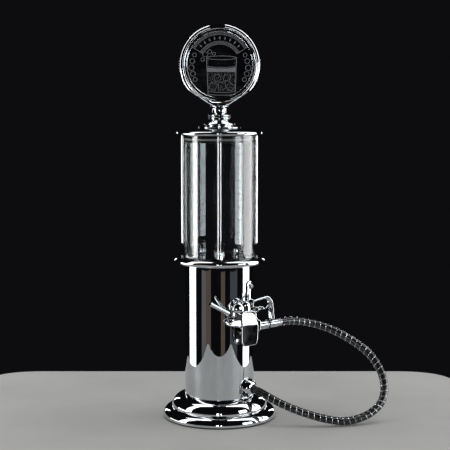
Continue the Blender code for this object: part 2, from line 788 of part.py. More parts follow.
def make_feed():
    aim = direction(OUTLET_AZIMUTH)
    up = Vector((0.0, 0.0, 1.0))
    inside = aim * (COLUMN_INNER - ELBOW_INSET)
    corner = ELBOW_BEND * (1 - math.cos(math.radians(45)))
    tube_top = SHANK_BOTTOM - GAP
    tube_low = ELBOW_TOP - FEED_TUBE_LAP
    path = [
        Vector((0.0, 0.0, tube_top)),
        Vector((0.0, 0.0, tube_top - DRAIN_BARB_LENGTH - 0.0040)),
        inside * 0.25 + up * (tube_low + (tube_top - tube_low) * 0.62),
        inside * 0.75 + up * (tube_low + (tube_top - tube_low) * 0.38),
        inside + up * (ELBOW_TOP + 0.0060),
        inside + up * tube_low,
    ]
    hollow_tube("feed_tube", path, FEED_TUBE_RADIUS, FEED_TUBE_WALL, silicone)

    clamp_inner = FEED_TUBE_RADIUS + GAP
    clamp_outer = clamp_inner + CLAMP_THICKNESS
    places = {
        "feed_clamp_top": Vector((0.0, 0.0, tube_top - 0.0070)),
        "feed_clamp_bottom": inside + up * (tube_low + 0.0030),
    }
    for name, place in places.items():
        clamp = turned(
            name,
            [
                (clamp_inner, CLAMP_WIDTH),
                (clamp_outer, CLAMP_WIDTH),
                (clamp_outer, 0.0),
                (clamp_inner, 0.0),
            ],
            steel,
            ring=True,
            steps=SMALL_STEPS,
        )
        clamp.location = place

    droop = math.radians(ELBOW_DROOP)
    axis_height = up * OUTLET_HEIGHT
    end_aim = aim * math.cos(droop) - up * math.sin(droop)
    turn = aim * (COLUMN_RADIUS + ROSETTE_HEIGHT - ROSETTE_ROOT) + axis_height
    after_turn = turn + (aim + end_aim).normalized() * ELBOW_MITRE
    elbow_path = [
        inside + up * ELBOW_TOP,
        inside + up * (OUTLET_HEIGHT + ELBOW_BEND),
        inside + aim * corner + up * (OUTLET_HEIGHT + corner),
        inside + aim * ELBOW_BEND + axis_height,
        turn,
        after_turn,
        after_turn + end_aim * ELBOW_REACH,
    ]
    hollow_tube("outlet_elbow", elbow_path, ELBOW_RADIUS, ELBOW_WALL, black_plastic)

    bore = ELBOW_RADIUS + HOLE_GAP
    rosette = turned(
        "outlet_rosette",
        [
            (bore, ROSETTE_HEIGHT),
            (ROSETTE_RADIUS * 0.52, ROSETTE_HEIGHT),
            (ROSETTE_RADIUS * 0.74, ROSETTE_HEIGHT * 0.84),
            (ROSETTE_RADIUS * 0.91, ROSETTE_HEIGHT * 0.55),
            (ROSETTE_RADIUS, ROSETTE_HEIGHT * 0.15),
            (ROSETTE_RADIUS, -ROSETTE_ROOT),
            (bore, -ROSETTE_ROOT),
        ],
        chrome,
        ring=True,
        steps=24,
    )
    rosette.location = aim * COLUMN_RADIUS + axis_height
    rosette.rotation_euler = aim.to_track_quat("Z", "Y").to_euler()
    rim = cylinder("column_clearance", COLUMN_RADIUS + GAP, COLUMN_LENGTH, (0.0, 0.0, COLUMN_BOTTOM), sides=96)
    mouth = cylinder(
        "elbow_clearance",
        bore + 0.0002,
        0.0120,
        turn - end_aim * 0.0020,
        end_aim,
    )
    cut(rosette, rim, mouth)

    sagitta = COLUMN_INNER - math.sqrt(COLUMN_INNER**2 - OUTLET_NUT_RADIUS**2)
    nut_place = aim * (COLUMN_INNER - sagitta - GAP - OUTLET_NUT_WIDTH) + axis_height
    hex_nut("outlet_nut", OUTLET_NUT_RADIUS, OUTLET_NUT_WIDTH, bore, nut_place, aim, brass)


def make_hose():
    middle = smooth_route(HOSE_ROUTE[1:-1], HOSE_POINTS)
    points = [HOSE_ROUTE[0], *middle, HOSE_ROUTE[-1]]
    hose = curve_object("hose", points, hose_black, parts)
    hose.data.bevel_depth = HOSE_RADIUS
    hose.data.bevel_resolution = 3
    hose.data.use_fill_caps = True


def make_lid():
    lid_frame = new_empty("lid_frame", (0.0, 0.0, LID_BOTTOM))

    def height(z):
        return z - LID_BOTTOM

    bore = SIGN_BOLT_RADIUS + GAP
    rim_inner = LID_RADIUS - 0.0026
    top = LID_DOME_HEIGHT
    outline = [(bore, top), (LID_DISC_RADIUS, top)]
    outline += [
        (LID_DISC_RADIUS + (rim_inner - LID_DISC_RADIUS) * 0.5, top - 0.0010),
        (LID_DISC_RADIUS + (rim_inner - LID_DISC_RADIUS) * 0.8, top - 0.0023),
        (rim_inner - 0.0006, LID_RIM_HEIGHT + 0.0001),
    ]
    outline += arc((rim_inner, LID_RIM_HEIGHT / 2), LID_RIM_HEIGHT / 2, 70, -80, 4)
    outline += [
        (rim_inner, 0.0),
        (PLUG_RADIUS - PLUG_WALL, 0.0),
        (PLUG_RADIUS - PLUG_WALL - 0.0010, top - LID_WALL - 0.0035),
        (LID_DISC_RADIUS, top - LID_WALL),
        (bore, top - LID_WALL),
    ]
    turned("lid_shell", outline, chrome, ring=True, parent=lid_frame)

    plug_low = height(PLUG_TOP) - PLUG_DEPTH
    plug_top = height(PLUG_TOP)
    plug_inner = PLUG_RADIUS - PLUG_WALL
    groove_low = plug_low + 0.0020
    groove_top = groove_low + SEAL_WIDTH + 2 * GAP
    groove_radius = PLUG_RADIUS - 0.0008
    turned(
        "lid_plug",
        [
            (0.0, plug_low + PLUG_WALL),
            (plug_inner, plug_low + PLUG_WALL),
            (plug_inner, plug_top),
            (PLUG_RADIUS, plug_top),
            (PLUG_RADIUS, groove_top),
            (groove_radius, groove_top),
            (groove_radius, groove_low),
            (PLUG_RADIUS, groove_low),
            (PLUG_RADIUS, plug_low),
            (0.0, plug_low),
        ],
        black_plastic,
        steps=28,
        parent=lid_frame,
    )
    seal_low = groove_low + GAP
    seal_top = seal_low + SEAL_WIDTH
    seal_inner = groove_radius + GAP
    turned(
        "lid_seal",
        [
            (seal_inner, seal_top),
            (SEAL_RADIUS, seal_top - 0.0008),
            (SEAL_RADIUS, seal_low + 0.0008),
            (seal_inner, seal_low),
        ],
        silicone,
        ring=True,
        steps=28,
        parent=lid_frame,
    )
    disc_low = height(DISC_BOTTOM)
    disc_top = disc_low + LID_DISC_THICKNESS
    turned(
        "lid_disc",
        [(bore, disc_top), (LID_DISC_RADIUS, disc_top), (LID_DISC_RADIUS, disc_low), (bore, disc_low)],
        chrome,
        ring=True,
        steps=28,
        parent=lid_frame,
    )
    make_stem(lid_frame, height(STEM_BOTTOM), bore)

    head_top = top - LID_WALL - GAP
    shank = height(SIGN_CENTRE) - SIGN_NECK_DROP + SIGN_BOLT_GRIP - 0.0010 - head_top
    pan_screw(
        "sign_bolt",
        (0.0, 0.0, head_top),
        (0.0, 0.0, -1.0),
        SIGN_BOLT_HEAD_RADIUS,
        SIGN_BOLT_HEAD_HEIGHT,
        SIGN_BOLT_RADIUS,
        shank,
        steel,
        parent=lid_frame,
    )
    make_sign(lid_frame, height(SIGN_CENTRE))


def make_stem(lid_frame, low, bore):
    """The turned post between the lid and the sign: a bell, two beads and a waisted neck."""
    top = STEM_HEIGHT
    outline = [(bore, top), (STEM_TOP_RADIUS, top), (STEM_TOP_RADIUS, top - 0.0008)]
    outline += [(STEM_NECK_RADIUS + 0.0006, top - 0.0028), (STEM_NECK_RADIUS, top - 0.0045)]
    outline += [(STEM_NECK_RADIUS, top - 0.0085), (STEM_NECK_RADIUS + 0.0012, top - 0.0100)]
    bead = STEM_BEAD_RADIUS
    outline += arc((bead - 0.0012, top - 0.0117), 0.0012, 75, -75, 2)
    outline += [(bead - 0.0024, top - 0.0131)]
    outline += arc((bead - 0.0012, top - 0.0147), 0.0012, 75, -75, 2)
    outline += [(STEM_BELL_RADIUS * 0.80, top - 0.0172), (STEM_BELL_RADIUS * 0.90, top - 0.0195)]
    outline += [(STEM_BELL_RADIUS, top - 0.0212), (STEM_BELL_RADIUS, top - 0.0226)]
    outline += [(STEM_BELL_RADIUS - 0.0020, top - 0.0236), (STEM_BELL_RADIUS - 0.0020, 0.0), (bore, 0.0)]
    stem = turned("sign_stem", outline, chrome, ring=True, steps=20, parent=lid_frame)
    stem.location = (0.0, 0.0, low)


def make_sign(lid_frame, centre):
    """A round two-sided sign. Its thick rim runs down into the neck, and a face disc sits in each side."""
    reach = math.sqrt(SIGN_NECK_DROP**2 + STEM_TOP_RADIUS**2)
    lean = math.degrees(math.atan2(STEM_TOP_RADIUS, SIGN_NECK_DROP))
    swing = lean + math.degrees(math.acos(min(1.0, SIGN_RADIUS / reach))) + 24.0
    outline = arc((0.0, 0.0), SIGN_RADIUS, swing - 90, 270 - swing, 30)
    outline += [(-STEM_TOP_RADIUS, -SIGN_NECK_DROP), (STEM_TOP_RADIUS, -SIGN_NECK_DROP)]
    facing = (math.radians(90), 0.0, math.radians(SIGN_YAW))
    sign = flat_piece("sign_body", outline, SIGN_THICKNESS, chrome, parent=lid_frame, edge=SIGN_EDGE)
    sign.location = (0.0, 0.0, centre)
    sign.rotation_euler = facing
    front = Vector((math.sin(facing[2]), -math.cos(facing[2]), 0.0))
    middle = Vector((0.0, 0.0, centre))
    recess_start = SIGN_THICKNESS / 2 - SIGN_RECESS_DEPTH
    for name, aim in (("front", front), ("back", -front)):
        recess = cylinder(
            f"sign_recess_{name}",
            SIGN_RECESS_RADIUS,
            SIGN_RECESS_DEPTH + 0.0020,
            middle + aim * recess_start,
            aim,
            36,
            lid_frame,
        )
        cut(sign, recess)
        face_radius = SIGN_RECESS_RADIUS - GAP
        face = turned(
            f"sign_face_{name}",
            [
                (0.0, SIGN_FACE_THICKNESS),
                (face_radius, SIGN_FACE_THICKNESS),
                (face_radius, 0.0),
                (0.0, 0.0),
            ],
            mirror,
            steps=36,
            parent=lid_frame,
        )
        face.location = middle + aim * (recess_start + GAP)
        face.rotation_euler = aim.to_track_quat("Z", "Y").to_euler()
    bore = cylinder(
        "sign_bolt_hole",
        SIGN_BOLT_RADIUS + GAP,
        SIGN_BOLT_GRIP + 0.0010,
        (0.0, 0.0, centre - SIGN_NECK_DROP - 0.0010),
        sides=12,
        parent=lid_frame,
    )
    cut(sign, bore)


def make_nozzle():
    place = direction(NOZZLE_YAW) * NOZZLE_REACH + Vector((0.0, 0.0, NOZZLE_HEIGHT))
    frame = new_empty("nozzle_frame", place, (0.0, 0.0, math.radians(NOZZLE_YAW)))
    body = flat_piece("nozzle_body", BODY_OUTLINE, BODY_WIDTH, chrome, parent=frame, edge=BODY_EDGE, segments=2)
    body.rotation_euler = (math.radians(90), 0.0, 0.0)

    pivot_x, pivot_z = TRIGGER_PIVOT
    slot_half = TRIGGER_WIDTH / 2 + SLOT_SIDE_GAP
    slot = block(
        "trigger_slot",
        (pivot_x - TRIGGER_HUB_RADIUS - 0.0016, -slot_half, pivot_z - TRIGGER_HUB_RADIUS - 0.0020),
        (pivot_x + 0.0250, slot_half, pivot_z + 0.0058),
        frame,
    )
    pin_hole = cylinder(
        "trigger_pin_hole",
        TRIGGER_PIN_RADIUS + GAP,
        BODY_WIDTH + 0.0020,
        (pivot_x, BODY_WIDTH / 2 + 0.0010, pivot_z),
        (0.0, -1.0, 0.0),
        12,
        frame,
    )
    valve_low = VALVE_TOP - VALVE_LENGTH
    valve_hole = cylinder(
        "valve_hole",
        VALVE_RADIUS + HOLE_GAP,
        VALVE_LENGTH + VALVE_TRAVEL + 0.0005,
        (VALVE_PLACE, 0.0, valve_low - VALVE_TRAVEL - 0.0005),
        sides=12,
        parent=frame,
    )
    spout_aim = Vector((math.cos(math.radians(SPOUT_ANGLE)), 0.0, math.sin(math.radians(SPOUT_ANGLE))))
    socket = Vector((SPOUT_SOCKET[0], 0.0, SPOUT_SOCKET[1]))
    spout_hole = cylinder(
        "spout_hole",
        SPOUT_RADIUS + GAP,
        SPOUT_SOCKET_DEPTH + 0.0040,
        socket - spout_aim * (SPOUT_SOCKET_DEPTH + GAP),
        spout_aim,
        parent=frame,
    )
    cut(body, slot, pin_hole, valve_hole, spout_hole)
    turned_along(frame, socket, spout_aim, make_spout_pieces())
    nut_place = socket + spout_aim * GAP
    hex_nut("spout_nut", SPOUT_NUT_RADIUS, SPOUT_NUT_LENGTH, SPOUT_RADIUS + GAP, nut_place, spout_aim, chrome, frame)

    grip_aim = Vector((math.cos(math.radians(GRIP_ANGLE)), 0.0, math.sin(math.radians(GRIP_ANGLE))))
    grip_x = max(x for x, z in BODY_OUTLINE) + GAP
    turned_along(frame, Vector((grip_x, 0.0, GRIP_DROP)), grip_aim, make_grip_pieces())

    foot_x = GUARD_ROUTE[-1][0] + GUARD_FOOT_SPREAD
    axis_height = GRIP_DROP + (foot_x - grip_x) * math.tan(math.radians(GRIP_ANGLE))
    guard_foot = (foot_x, axis_height + COUPLING_RADIUS + 2 * GAP)
    ribbon("nozzle_guard", GUARD_ROUTE + (guard_foot,), GUARD_WIDTH, GUARD_THICKNESS, chrome, frame)
    make_trigger(frame)


def turned_along(frame, start, aim, pieces):
    """Turned pieces one after another along aim, each with its own start distance."""
    for name, distance, outline, material, ring, steps in pieces:
        obj = turned(name, outline, material, ring=ring, steps=steps, parent=frame)
        obj.location = start + aim * distance
        obj.rotation_euler = aim.to_track_quat("Z", "Y").to_euler()


def tube_outline(outer, inner, length, chamfer=0.0):
    return [
        (inner, length),
        (outer - chamfer, length),
        (outer, length - chamfer),
        (outer, chamfer),
        (outer - chamfer, 0.0),
        (inner, 0.0),
    ]


def make_spout_pieces():
    bore = SPOUT_RADIUS + GAP
    ring_start = GAP + SPOUT_NUT_LENGTH + GAP
    spout = [
        (SPOUT_RADIUS - SPOUT_WALL, SPOUT_LENGTH),
        (SPOUT_RADIUS, SPOUT_LENGTH),
        (SPOUT_RADIUS, -SPOUT_SOCKET_DEPTH),
        (SPOUT_RADIUS - SPOUT_WALL, -SPOUT_SOCKET_DEPTH),
    ]
    return [
        ("nozzle_spout", 0.0, spout, chrome, True, SMALL_STEPS),
        ("spout_ring", ring_start, tube_outline(SPOUT_RING_RADIUS, bore, SPOUT_RING_LENGTH), rubber, True, SMALL_STEPS),
    ]


def make_grip_pieces():
    ring_start = GRIP_LENGTH + GAP
    coupling_start = ring_start + GRIP_RING_LENGTH + GAP
    ferrule_start = coupling_start + COUPLING_LENGTH + GAP
    bore = 0.0020
    grip = tube_outline(GRIP_RADIUS, bore, GRIP_LENGTH, 0.0006)
    ring = tube_outline(GRIP_RING_RADIUS, bore, GRIP_RING_LENGTH)
    coupling = tube_outline(COUPLING_RADIUS, bore, COUPLING_LENGTH, 0.0006)
    ferrule = tube_outline(FERRULE_RADIUS, bore, FERRULE_LENGTH, 0.0005)
    return [
        ("nozzle_grip", 0.0, grip, chrome, True, SMALL_STEPS),
        ("grip_ring", ring_start, ring, rubber, True, SMALL_STEPS),
        ("hose_coupling", coupling_start, coupling, chrome, True, SMALL_STEPS),
        ("hose_ferrule", ferrule_start, ferrule, chrome, True, SMALL_STEPS),
    ]


def make_trigger(frame):
    pivot_x, pivot_z = TRIGGER_PIVOT
    pivot = new_empty("trigger_frame", (pivot_x, 0.0, pivot_z), parent=frame)
    trigger = ribbon("trigger_lever", TRIGGER_ROUTE, TRIGGER_WIDTH, TRIGGER_THICKNESS, chrome, pivot)
    side = TRIGGER_WIDTH / 2
    hub = cylinder(
        "trigger_hub", TRIGGER_HUB_RADIUS, TRIGGER_WIDTH, (0.0, side, 0.0), (0.0, -1.0, 0.0), SMALL_STEPS, pivot
    )
    bead_x, bead_z = TRIGGER_BEAD_PLACE
    bead = cylinder(
        "trigger_bead",
        TRIGGER_BEAD_RADIUS,
        TRIGGER_WIDTH,
        (bead_x, side, bead_z),
        (0.0, -1.0, 0.0),
        SMALL_STEPS,
        pivot,
    )
    combine(trigger, hub, "UNION")
    combine(trigger, bead, "UNION")
    eye = cylinder(
        "trigger_eye", TRIGGER_PIN_RADIUS + GAP, 0.0100, (0.0, 0.0050, 0.0), (0.0, -1.0, 0.0), 12, pivot
    )
    cut(trigger, eye)

    pin = turned(
        "trigger_pin",
        [
            (0.0, BODY_WIDTH),
            (TRIGGER_PIN_RADIUS, BODY_WIDTH),
            (TRIGGER_PIN_RADIUS, 0.0),
            (0.0, 0.0),
        ],
        steel,
        steps=12,
        parent=frame,
    )
    pin.location = (pivot_x, BODY_WIDTH / 2, pivot_z)
    pin.rotation_euler = (math.radians(90), 0.0, 0.0)

    stem = turned(
        "valve_stem",
        [
            (0.0, VALVE_LENGTH),
            (VALVE_RADIUS, VALVE_LENGTH),
            (VALVE_RADIUS, 0.0),
            (0.0, 0.0),
        ],
        steel,
        steps=12,
        parent=frame,
    )
    stem.location = (VALVE_PLACE, 0.0, VALVE_TOP - VALVE_LENGTH)


def make_holster():
    aim = direction(NOZZLE_YAW)
    place = aim * NOZZLE_REACH + Vector((0.0, 0.0, NOZZLE_HEIGHT))
    frame = new_empty("holster_frame", place, (0.0, 0.0, math.radians(NOZZLE_YAW)))
    front = POCKET_HALF + HOLSTER_PLATE
    depth = NOZZLE_REACH - HOLSTER_ROOT + front
    holster = flat_piece("holster_bracket", HOLSTER_OUTLINE, depth, chrome, parent=frame)
    holster.location = (0.0, depth / 2 - front, 0.0)
    holster.rotation_euler = (math.radians(90), 0.0, 0.0)
    pocket = block("holster_pocket", (-0.0300, -POCKET_HALF, POCKET_FLOOR), (0.0400, POCKET_HALF, 0.0100), frame)
    under = POCKET_FLOOR - POCKET_FLOOR_THICKNESS
    hollow = block("holster_hollow", (-0.0300, -POCKET_HALF, -0.0600), (0.0400, POCKET_HALF, under), frame)
    cut(holster, pocket, hollow)

    strip_aim = direction(STRIP_AZIMUTH)
    height = STRIP_TOP - STRIP_BOTTOM
    strip = new_object("holster_strip", strip_mesh(height), None, cutters)
    strip.location = strip_aim * (COLUMN_RADIUS - 0.0040) + Vector((0.0, 0.0, STRIP_BOTTOM))
    strip.rotation_euler = (0.0, 0.0, math.radians(STRIP_AZIMUTH))
    outer = cylinder(
        "strip_outside",
        COLUMN_RADIUS + GAP + STRIP_THICKNESS,
        height + 0.0200,
        (0.0, 0.0, STRIP_BOTTOM - 0.0100),
        sides=96,
    )
    combine(strip, outer, "INTERSECT")
    combine(holster, strip, "UNION")
    clearance = cylinder(
        "holster_column_clearance", COLUMN_RADIUS + GAP, height + 0.0400, (0.0, 0.0, STRIP_BOTTOM - 0.0200), sides=96
    )
    cut(holster, clearance)

    seat = COLUMN_RADIUS + GAP + STRIP_THICKNESS + GAP
    for number, screw_height in enumerate(HOLSTER_SCREW_HEIGHTS, 1):
        level = Vector((0.0, 0.0, screw_height))
        pan_screw(
            f"holster_screw_{number}",
            strip_aim * seat + level,
            strip_aim,
            HOLSTER_SCREW_HEAD_RADIUS,
            HOLSTER_SCREW_HEAD_HEIGHT,
            HOLSTER_SCREW_RADIUS,
            HOLSTER_SCREW_LENGTH,
            steel,
        )
        hole = cylinder(
            f"holster_screw_hole_{number}",
            HOLSTER_SCREW_RADIUS + HOLE_GAP,
            0.0120,
            strip_aim * (seat - 0.0080) + level,
            strip_aim,
            10,
        )
        cut(holster, hole)


def strip_mesh(height):
    """The strip's outline, round at the top, from its lower edge up."""
    half = STRIP_WIDTH / 2
    outline = [(-half, 0.0), (half, 0.0)] + arc((0.0, height - half), half, 0, 180, 8)
    flat = flat_piece("strip_blank", outline, 0.0200, None, collection=cutters)
    mesh = flat.data
    mesh.transform(Matrix.Rotation(math.radians(90), 4, "X"))
    bpy.data.objects.remove(flat)
    return mesh


clear_scene()
parts = new_collection("bar_pump_dispenser")
cutters = new_collection("cutters")
chrome = new_material("chrome_plate", (0.80, 0.81, 0.83), 0.06, 1.0)
mirror = new_material("mirror_plate", (0.62, 0.63, 0.65), 0.04, 1.0)
steel = new_material("steel", (0.60, 0.60, 0.62), 0.25, 1.0)
cast = new_material("cast_iron", (0.12, 0.12, 0.13), 0.60, 0.8)
brass = new_material("brass", (0.75, 0.58, 0.28), 0.25, 1.0)
acrylic = new_material("clear_acrylic", (0.95, 0.96, 0.97), 0.03, 0.0, 0.3)
felt = new_material("black_felt", (0.02, 0.02, 0.02), 0.95, 0.0)
rubber = new_material("black_rubber", (0.02, 0.02, 0.02), 0.60, 0.0)
silicone = new_material("silicone", (0.75, 0.76, 0.76), 0.40, 0.0)
black_plastic = new_material("black_plastic", (0.03, 0.03, 0.03), 0.35, 0.0)
hose_black = new_material("hose_black", (0.02, 0.02, 0.02), 0.30, 0.0)
make_base()
make_column()
make_collar()
make_drain()
make_feed()
make_hose()
make_lid()
make_nozzle()
make_holster()
for cutter in cutters.objects:
    cutter.hide_render = True
    cutter.display_type = "WIRE"
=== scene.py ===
"""Looks of a chrome bar drink dispenser shaped like an old visible filling-station pump.

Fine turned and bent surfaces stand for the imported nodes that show, the hidden nodes keep their own mesh, and
every surface gets its finish. Metres, +Z up, front towards -Y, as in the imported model.
"""

import json
import math

import bmesh
import bpy
from mathutils import Matrix, Vector

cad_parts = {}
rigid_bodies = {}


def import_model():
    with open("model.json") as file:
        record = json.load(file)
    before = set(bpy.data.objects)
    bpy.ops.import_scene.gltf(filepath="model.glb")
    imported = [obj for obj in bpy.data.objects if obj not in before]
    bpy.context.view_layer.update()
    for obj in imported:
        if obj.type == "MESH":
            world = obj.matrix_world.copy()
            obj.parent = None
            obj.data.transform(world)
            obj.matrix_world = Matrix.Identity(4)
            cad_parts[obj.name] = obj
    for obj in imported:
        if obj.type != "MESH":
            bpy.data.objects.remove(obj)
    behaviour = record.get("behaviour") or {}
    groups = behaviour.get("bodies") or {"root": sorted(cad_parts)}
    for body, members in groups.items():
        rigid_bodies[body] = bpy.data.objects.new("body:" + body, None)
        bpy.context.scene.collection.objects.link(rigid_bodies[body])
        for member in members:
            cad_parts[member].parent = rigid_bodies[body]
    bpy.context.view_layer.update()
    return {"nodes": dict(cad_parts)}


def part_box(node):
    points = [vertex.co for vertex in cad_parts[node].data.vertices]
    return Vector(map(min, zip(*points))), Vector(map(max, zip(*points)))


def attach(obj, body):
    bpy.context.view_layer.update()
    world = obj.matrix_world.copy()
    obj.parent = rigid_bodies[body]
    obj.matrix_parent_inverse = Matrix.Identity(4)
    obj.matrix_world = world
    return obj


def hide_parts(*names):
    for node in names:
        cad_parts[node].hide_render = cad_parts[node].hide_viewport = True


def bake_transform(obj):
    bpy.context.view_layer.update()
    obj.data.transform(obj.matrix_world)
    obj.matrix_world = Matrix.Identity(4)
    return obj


for startup in list(bpy.data.objects):
    bpy.data.objects.remove(startup, do_unlink=True)
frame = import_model()
nodes = frame["nodes"]


def reach(node):
    """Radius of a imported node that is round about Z."""
    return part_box(node)[1].x


def foot(node):
    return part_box(node)[0].z


def top(node):
    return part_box(node)[1].z


GAP = 0.0003
WELD = 0.000001
WELDED = ("WELD", {"merge_threshold": WELD})
FINE_STEPS = 192
MIDDLE_STEPS = 96
SMALL_STEPS = 48

# Base and column
BASE_RADIUS = reach("base_shell")
BASE_BOTTOM = foot("base_shell")
BASE_TOP = top("base_shell")
BASE_HOLE = 0.0287
UPPER_TIER_RADIUS = BASE_RADIUS - 0.0110
LOWER_TIER_TOP = 0.0130
COLUMN_RADIUS = reach("column_tube")
COLUMN_INNER = COLUMN_RADIUS - 0.0012
COLUMN_BOTTOM = foot("column_tube")
COLUMN_TOP = top("column_tube")

# Collar and canister
DECK_BOTTOM = COLUMN_TOP + GAP
DECK_TOP = DECK_BOTTOM + 0.0044
COLLAR_RADIUS = reach("collar_flange")
COLLAR_BEAD = 0.0052
COLLAR_MIDDLE = DECK_BOTTOM + 0.00374
SPIGOT_RADIUS = 0.0408
SPIGOT_INNER = 0.0388
SPIGOT_BOTTOM = foot("collar_flange")
CANISTER_RADIUS = reach("canister_tube")
CANISTER_INNER = CANISTER_RADIUS - 0.0033
CANISTER_BOTTOM = foot("canister_tube")
CANISTER_TOP = top("canister_tube")
GASKET_INNER = 0.0357
FLOOR_TOP = top("canister_floor")
DRAIN_HOLE = 0.0048
DRAIN_RADIUS = reach("drain_fitting")
DRAIN_BOTTOM = foot("drain_fitting")
SCREW_CIRCLE = 0.0237
SCREW_START = 2.7 - 90.0
TICK_AZIMUTH = 27.4
TICK_ROWS = ((31.8, 0.2145), (29.6, 0.2222))
TICK_STEP = 0.0154

# Lid and sign
LID_BOTTOM = foot("lid_shell")
LID_TOP = top("lid_shell")
LID_RADIUS = 0.0525
LID_BEAD = 0.0025
LID_DOME_FALL = ((0.18, 0.0002), (0.36, 0.0006), (0.5, 0.0010), (0.66, 0.0016), (0.8, 0.0023), (0.91, 0.0027))
DISC_RADIUS = reach("lid_disc")
PLUG_RADIUS = reach("lid_plug")
PLUG_BOTTOM = foot("lid_plug")
STEM_BORE = 0.0023
STEM_BOTTOM = foot("sign_stem")
STEM_TOP = top("sign_stem")
SIGN_RADIUS = (top("sign_body") - foot("sign_body")) / 2
SIGN_CENTRE = foot("sign_body") + SIGN_RADIUS
SIGN_THICKNESS = 0.0160
SIGN_NECK = 0.0108
SIGN_RECESS = 0.0406
SIGN_RECESS_DEPTH = 0.0045
SIGN_FACE_FRONT = 0.0058
SIGN_FACE_THICKNESS = 0.0020
SIGN_YAW = 4.0

# Stamped relief on the sign, from its centre
PANEL_ANGLES = (32.0, 148.0)
PANEL_LINES = (0.0386, 0.0354, 0.0276, 0.0240)
PANEL_HATCHES = ((0.0357, 0.0383, 92), (0.0243, 0.0273, 64))
TUMBLER_LINES = (
    [(-0.0160, 0.0080), (-0.0140, -0.0350)],
    [(0.0200, 0.0080), (0.0186, -0.0350)],
    [(-0.0140, -0.0350), (-0.0060, -0.0362), (0.0100, -0.0364), (0.0186, -0.0350)],
    [(-0.0138, -0.0318), (-0.0050, -0.0330), (0.0100, -0.0331), (0.0184, -0.0318)],
    [(-0.0156, -0.0020), (-0.0060, -0.0032), (0.0090, -0.0034), (0.0196, -0.0018)],
)
TUMBLER_FILL = (
    (-0.0152, -0.0034),
    (-0.0060, -0.0044),
    (0.0090, -0.0046),
    (0.0192, -0.0032),
    (0.0190, -0.0088),
    (-0.0149, -0.0088),
)
ICE_BLOCKS = (
    (-0.0080, -0.0260, 20.0, 0.0056),
    (0.0026, -0.0250, 52.0, 0.0060),
    (0.0128, -0.0262, 8.0, 0.0054),
    (-0.0030, -0.0158, 70.0, 0.0050),
    (0.0086, -0.0156, 30.0, 0.0052),
)
SIDE_BUBBLES = (
    (0.0303, 0.0113, 0.0023),
    (0.0329, 0.0041, 0.0029),
    (0.0341, -0.0038, 0.0033),
    (0.0322, -0.0109, 0.0029),
    (0.0295, -0.0177, 0.0024),
)
GLASS_BUBBLES = (
    (-0.0175, 0.0120, 0.0030),
    (-0.0120, 0.0150, 0.0024),
    (-0.0205, 0.0060, 0.0021),
    (-0.0070, 0.0128, 0.0018),
)
FIZZ_AREAS = (
    ([(-0.0138, -0.0312), (0.0182, -0.0312), (0.0188, -0.0095), (-0.0146, -0.0095)], 0.0013, 0.00042),
    ([(-0.0155, -0.0090), (-0.0128, -0.0090), (-0.0134, 0.0062), (-0.0157, 0.0062)], 0.0009, 0.00036),
    ([(0.0172, -0.0300), (0.0184, -0.0300), (0.0196, 0.0062), (0.0180, 0.0062)], 0.0009, 0.00036),
)
RAY_RINGS = (0.0120, 0.0240, 0.0345, 0.0357)

# Outlet and hose
OUTLET_AZIMUTH = 54.0
OUTLET_HEIGHT = 0.0400
OUTLET_DROOP = math.radians(14.0)
ELBOW_RADIUS = 0.0045
ROSETTE_RADIUS = 0.0116
ROSETTE_HEIGHT = 0.0085
ROSETTE_ROOT = 0.0040
ROSETTE_SHAPE = (
    (0.52, 1.0),
    (0.64, 0.94),
    (0.74, 0.84),
    (0.84, 0.70),
    (0.91, 0.55),
    (0.97, 0.36),
    (1.0, 0.15),
)
HOSE_TUBE_RADIUS = 0.0047
HOSE_WIRE_RADIUS = 0.00055
HOSE_WIRE_CIRCLE = 0.00472
HOSE_WIRE_PITCH = 0.0072
HOSE_WIRE_STEPS = 24
HOSE_BARE_START = 0.0110
HOSE_ROUTE = (
    (0.0460, -0.0334, 0.0379),
    (0.0507, -0.0368, 0.0364),
    (0.0600, -0.0434, 0.0323),
    (0.0730, -0.0490, 0.0265),
    (0.0905, -0.0540, 0.0200),
    (0.1090, -0.0560, 0.0140),
    (0.1275, -0.0555, 0.0090),
    (0.1465, -0.0525, 0.0058),
    (0.1650, -0.0475, 0.0072),
    (0.1820, -0.0405, 0.0130),
    (0.1955, -0.0320, 0.0240),
    (0.2000, -0.0230, 0.0405),
    (0.1965, -0.0150, 0.0575),
    (0.1875, -0.0080, 0.0730),
    (0.1740, -0.0025, 0.0855),
    (0.1580, 0.0010, 0.0960),
    (0.1410, 0.0020, 0.1050),
    (0.1230, 0.0005, 0.1120),
    (0.1045, -0.0035, 0.1170),
    (0.0890, -0.0092, 0.1194),
    (0.0797, -0.0140, 0.1197),
    (0.0746, -0.0170, 0.1195),
)

